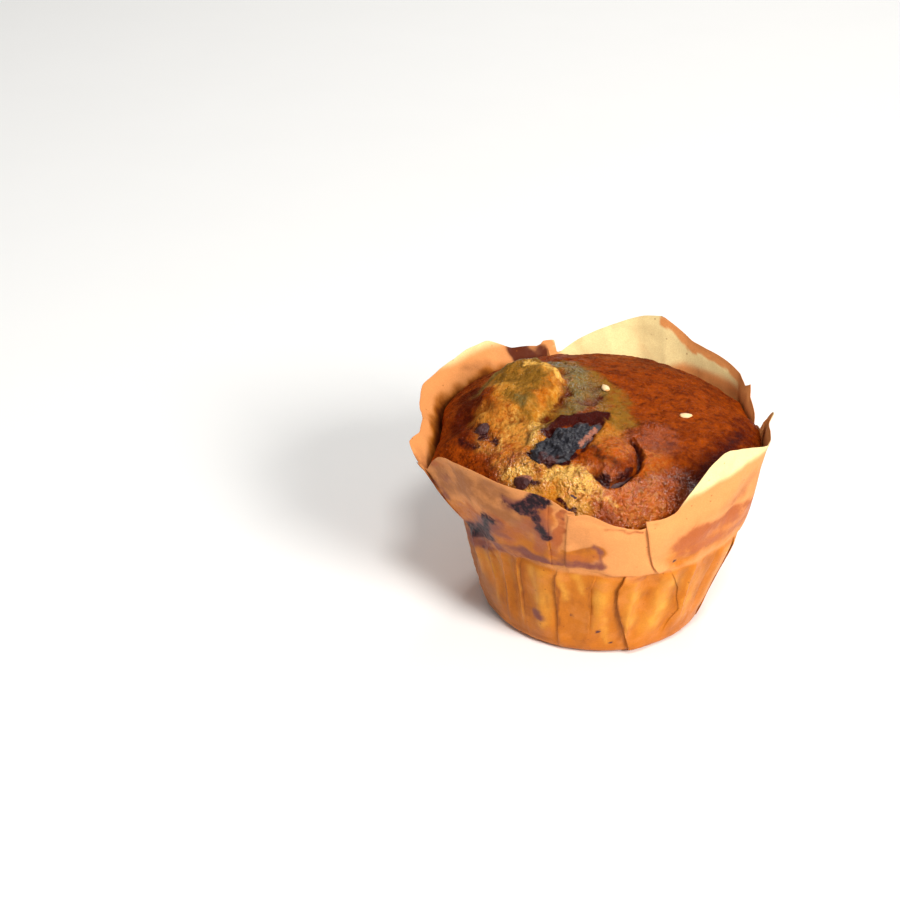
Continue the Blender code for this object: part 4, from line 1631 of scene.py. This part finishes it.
    def shape(self, azimuth: np.ndarray, row: np.ndarray) -> np.ndarray:
        """Points of the whole cake, in millimetres.

        Args:
            azimuth: The column's azimuth at the crown's edge.
            row: 0 at the crown's middle and 1 at the middle of the underside.

        Returns:
            The points.
        """
        edge_level = self.edge_level(azimuth)
        edge = self.side(azimuth, edge_level)
        share = np.clip(row / self.CROWN_SHARE, 0.0, 1.0)
        share = 1.0 - (1.0 - share) ** 1.25
        flat = np.array(self.middle) + (edge[:, :2] - np.array(self.middle)) * share[:, None]
        height, reach = self.plain_height(flat[:, 0], flat[:, 1])
        step = 0.25
        slope_x = (self.plain_height(flat[:, 0] + step, flat[:, 1])[0] - height) / step
        slope_y = (self.plain_height(flat[:, 0], flat[:, 1] + step)[0] - height) / step
        slope = np.clip(np.hypot(slope_x, slope_y), 1e-6, None)
        held = np.minimum(slope, self.STEEPEST) / slope
        normal = np.stack([-slope_x * held, -slope_y * held, np.ones_like(height)], axis=-1)
        normal /= np.linalg.norm(normal, axis=-1, keepdims=True)
        crown = np.concatenate([flat, height[:, None]], axis=1)
        crown += normal * self.relief(flat[:, 0], flat[:, 1], reach)[:, None]
        crown = crown + (edge - crown) * ease(share, 0.985, 1.0)[:, None]

        down = np.clip((row - self.CROWN_SHARE) / (self.WALL_SHARE - self.CROWN_SHARE), 0.0, 1.0)
        under = np.clip((row - self.WALL_SHARE) / (1.0 - self.WALL_SHARE), 0.0, 1.0)
        side = self.side(azimuth, edge_level * (1.0 - down) - under)
        return np.where((row <= self.CROWN_SHARE)[:, None], crown, side)

    def build(self, finish: CakeFinish) -> bpy.types.Object:
        """Shape the cake from a ball and dress it.

        Args:
            finish: The finish of the cake.

        Returns:
            The cake.
        """
        cake = new_ball(self.segments, self.rings)
        ball = points_of(cake)
        azimuth = np.degrees(np.arctan2(ball[:, 1], ball[:, 0])) % 360.0
        row = np.arccos(np.clip(ball[:, 2], -1.0, 1.0)) / math.pi
        points = self.shape(azimuth, row)
        move_points(cake, points * MM)
        self._colour(cake, points, row)
        smooth(cake)
        settle(cake, "muffin", finish.make())
        return cake

    def _colour(self, cake: bpy.types.Object, points: np.ndarray, row: np.ndarray) -> None:
        """Store how golden, green, browned and juicy each point of the crown is, and where shade is painted
        in its hollows and along the paper.

        Args:
            cake: The cake.
            points: Its points, in millimetres.
            row: Their rows, from 0 at the crown's middle to 1 under the base.
        """
        spot = points * np.array([1.0, 1.0, 0.0])
        waver = np.stack([Noise(seed).layered(spot, 4.0, 3) for seed in (71, 75)], axis=1)
        place = points[:, :2] + 1.1 * waver
        crown = ease(row, self.CROWN_SHARE + 0.03, self.CROWN_SHARE)
        patches = {"gold": GOLD, "orange": ORANGE, "olive": OLIVE, "green": GREEN, "pale": PALE,
                   "juice_and_shadow": JUICE_AND_SHADOW_STROKES, "wet": WET}
        for name, strokes in patches.items():
            store(cake, name, covered(strokes, place) * crown)
        # Painted shade in the hollows of the relief
        hollow = 0.75 * ease(self.relief(points[:, 0], points[:, 1], np.zeros(len(points))), -0.1, -1.2)
        store(cake, "burn_and_shade", np.maximum(covered(BURN_AND_SHADE, place), hollow) * crown)


# ---------------------------------------------------------------- berries and seeds


@dataclass(frozen=True)
class Berry:
    """A blueberry that has shrivelled or burst in the oven.

    Attributes:
        node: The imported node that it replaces.
        azimuth: The direction of its longest half-length.
        halves: Its half-lengths: the longest, the other level one and the upright one.
        wrinkle: How deep its wrinkles are, in millimetres.
        ragged: How uneven its outline is, in millimetres.
        plum: Strokes of reddened skin, in the berry's own plane.
        flesh: Strokes of open flesh.
        rings: How fine its mesh is.
    """

    node: str
    azimuth: float
    halves: tuple
    wrinkle: float = 0.35
    ragged: float = 0.3
    plum: tuple = ()
    flesh: tuple = ()
    rings: int = 72

    def build(self, material: bpy.types.Material) -> bpy.types.Object:
        """Shape the berry from a ball in its node's place and dress it.

        Args:
            material: The berries' finish.

        Returns:
            The berry.
        """
        berry = new_ball(self.rings * 2, self.rings)
        ball = points_of(berry)
        body = ball * np.array(self.halves)
        seed = Noise(sum(map(ord, self.node)))
        ridged = 1.0 - 2.0 * np.abs(seed.layered(body, 1.5, 3))
        depth = self.wrinkle * (ridged * 0.35 + 1.1 * (0.5 - seed.cells(body, 1.15)))
        depth += self.ragged * seed.layered(body, 3.4, 2)
        body = body + ball * depth[:, None]
        move_points(berry, stand(self.node, self.azimuth, body) * MM)
        store(berry, "plum", covered(self.plum, body[:, :2]))
        store(berry, "flesh", covered(self.flesh, body[:, :2]))
        smooth(berry)
        settle(berry, self.node, material)
        return berry


ALL_OVER = (Stroke(((0.0, 0.0),), 9.0, 1.0, 1.0),)  # reddened skin all over a small berry
BERRIES = (
    Berry("blueberry_burst", 46.0, (10.8, 5.6, 4.3), 0.75, 1.1,
          (Stroke(((6.0, 3.4), (10.0, 0.0)), 1.4, 1.0, 2.4),
           Stroke(((-10.0, -1.0), (-8.6, -4.0)), 1.1, 0.8, 2.4),
           Stroke(((1.0, -5.0), (6.0, -3.6), (9.6, -1.0)), 0.8, 0.9, 2.0)),
          (Stroke(((6.6, -1.2), (3.0, -3.0), (-0.4, -3.8)), 0.55, 1.0, 1.2),), 120),
    Berry("blueberry_hooded", 0.0, (6.0, 5.8, 5.8), 0.2, 0.15, (Stroke(((0.0, 0.0),), 9.0, 0.9, 1.0),)),
    Berry("blueberry_left", 30.0, (2.9, 2.2, 3.65), 0.2, 0.3, ALL_OVER),
    Berry("blueberry_split", 160.0, (3.8, 2.6, 3.75), 0.2, 0.3, ALL_OVER,
          (Stroke(((-1.6, -0.4), (1.6, -0.7)), 1.2, 1.0, 1.6),)),
    Berry("blueberry_rim", 172.0, (3.4, 1.4, 3.0), 0.15, 0.2, ALL_OVER),
    Berry("blueberry_side", 222.0, (4.3, 4.3, 4.3), 0.25, 0.15),
)


@dataclass(frozen=True)
class Seed:
    """A sesame seed stuck to the crown.

    Attributes:
        node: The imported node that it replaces.
        azimuth: The direction in which its point lies.
        halves: Its half-lengths along, across and upright.
        taper: How much narrower its point is, as a share.
        uneven: How uneven its hull is, in millimetres.
        rings: How fine its mesh is.
    """

    node: str
    azimuth: float
    halves: tuple
    taper: float = 0.55
    uneven: float = 0.05
    rings: int = 24

    def build(self, material: bpy.types.Material) -> bpy.types.Object:
        """Shape the seed, round at one end and pointed at the other, and dress it.

        Args:
            material: The seeds' finish.

        Returns:
            The seed.
        """
        seed = new_ball(self.rings * 2, self.rings)
        ball = points_of(seed)
        taper = 1.0 - self.taper * ease(ball[:, 0], -0.1, 1.1)
        drop = np.stack([np.ones_like(taper), taper, 0.75 + 0.25 * taper], axis=1)
        body = ball * np.array(self.halves) * drop
        body += ball * (self.uneven * Noise(90).layered(body, 0.8, 2))[:, None]
        move_points(seed, stand(self.node, self.azimuth, body) * MM)
        store(seed, "toast", ease(np.abs(ball[:, 0]), 0.65, 1.0))
        smooth(seed)
        settle(seed, self.node, material)
        return seed


SEEDS = (
    Seed("sesame_seed_back", 112.0, (1.75, 0.95, 0.5)),
    Seed("sesame_seed_right", 8.0, (1.65, 1.0, 0.5)),
)


# ---------------------------------------------------------------- floor, light and camera


@dataclass(frozen=True)
class Lamp:
    """A soft square light.

    Attributes:
        place: Where it hangs, in metres.
        size: Its side, in metres.
        watts: Its strength.
        colour: Its colour.
    """

    place: tuple
    size: float
    watts: float
    colour: tuple = (1.0, 1.0, 1.0)


@dataclass
class Studio:
    """A plain pale floor, soft light and the camera.

    Attributes:
        distance: From the camera to the origin, in metres.
        elevation: The camera's height over the floor, in degrees as seen from the origin.
        yaw: How far the camera looks to the left of the origin's direction, in degrees.
        pitch: How far it looks up.
        roll: How far it is turned about its own axis.
        lens: Its focal length, in millimetres.
        sensor: The width of its sensor, in millimetres.
        lamps: The lights.
        world: Strength of the white surroundings.
        lit_height: Height of the point that the lamps are turned to, in metres.
    """

    distance: float = 0.50
    elevation: float = 33.0
    yaw: float = 5.065
    pitch: float = -29.104
    roll: float = 2.0
    lens: float = 78.4
    sensor: float = 36.0
    lamps: tuple = (
        Lamp((0.56, -0.56, 0.55), 0.34, 9.5, (1.0, 0.98, 0.95)),
        Lamp((0.10, -0.50, 0.95), 0.20, 4.4, (1.0, 0.99, 0.97)),
        Lamp((-0.75, -0.35, 0.55), 0.7, 0.4, (0.97, 0.98, 1.0)),
        Lamp((0.15, 0.75, 0.70), 0.30, 3.0, (1.0, 0.98, 0.95)),
    )
    world: float = 0.28
    lit_height: float = 0.03

    def build(self) -> None:
        """Set up the floor, the lights, the surroundings and the camera."""
        self._floor()
        for number, lamp in enumerate(self.lamps):
            data = bpy.data.lights.new(f"lamp_{number}", "AREA")
            data.energy, data.size, data.color = lamp.watts, lamp.size, lamp.colour
            light = bpy.data.objects.new(data.name, data)
            light.location = lamp.place
            ray = Vector((0.0, 0.0, self.lit_height)) - light.location
            light.rotation_euler = ray.to_track_quat("-Z", "Y").to_euler()
            bpy.context.scene.collection.objects.link(light)
        world = bpy.context.scene.world or bpy.data.worlds.new("surroundings")
        bpy.context.scene.world = world
        world.use_nodes = True
        background = world.node_tree.nodes["Background"]
        background.inputs["Color"].default_value = (1.0, 1.0, 1.0, 1.0)
        background.inputs["Strength"].default_value = self.world
        bpy.context.scene.view_settings.view_transform = "Standard"
        self._camera()

    def _floor(self) -> None:
        """A wide matt floor, nearly white."""
        free_selection()
        bpy.ops.mesh.primitive_plane_add(size=8.0, location=(0.0, 0.0, -0.00005))
        floor = bpy.context.object
        floor.name = "studio_floor"
        paint = Paint("matt_floor")
        paint.feed(paint.shader.inputs["Base Color"],
                   paint.mix(paint.noise(40.0), (0.90, 0.90, 0.89), (0.92, 0.92, 0.91)))
        paint.fixed(Roughness=0.9, Specular_IOR_Level=0.1)
        floor.data.materials.append(paint.material)

    def _camera(self) -> None:
        """The camera, which looks at the muffin from the front and above."""
        data = bpy.data.cameras.new("camera")
        data.lens, data.sensor_width, data.clip_start = self.lens, self.sensor, 0.01
        camera = bpy.data.objects.new("camera", data)
        high = math.radians(self.elevation)
        yaw, pitch, roll = (math.radians(turn) for turn in (self.yaw, self.pitch, self.roll))
        view = Vector((-math.sin(yaw) * math.cos(pitch), math.cos(yaw) * math.cos(pitch), math.sin(pitch)))
        right = Matrix.Rotation(-roll, 3, view) @ Vector((math.cos(yaw), math.sin(yaw), 0.0))
        upward = right.cross(view)
        camera.matrix_world = Matrix.Translation(
            Vector((0.0, -math.cos(high), math.sin(high))) * self.distance
        ) @ Matrix((right, upward, -view)).transposed().to_4x4()
        bpy.context.scene.collection.objects.link(camera)
        bpy.context.scene.camera = camera


def main() -> None:
    """Build the muffin piece by piece, then the studio."""
    logging.basicConfig(level=logging.INFO, format="%(message)s")
    case = PaperCase(CUP)
    for piece in (case.build(PaperFinish()), Cake(case).build(CakeFinish())):
        LOG.info("built %s with %d faces", piece.name, len(piece.data.polygons))
    berry_skin, seed_hull = BerryFinish().make(), SesameFinish().make()
    for maker, material in [(berry, berry_skin) for berry in BERRIES] + [(seed, seed_hull) for seed in SEEDS]:
        piece = maker.build(material)
        LOG.info("built %s with %d faces", piece.name, len(piece.data.polygons))
    Studio().build()
    LOG.info("set up the studio")
    free_selection()


if __name__ == "__main__":
    main()
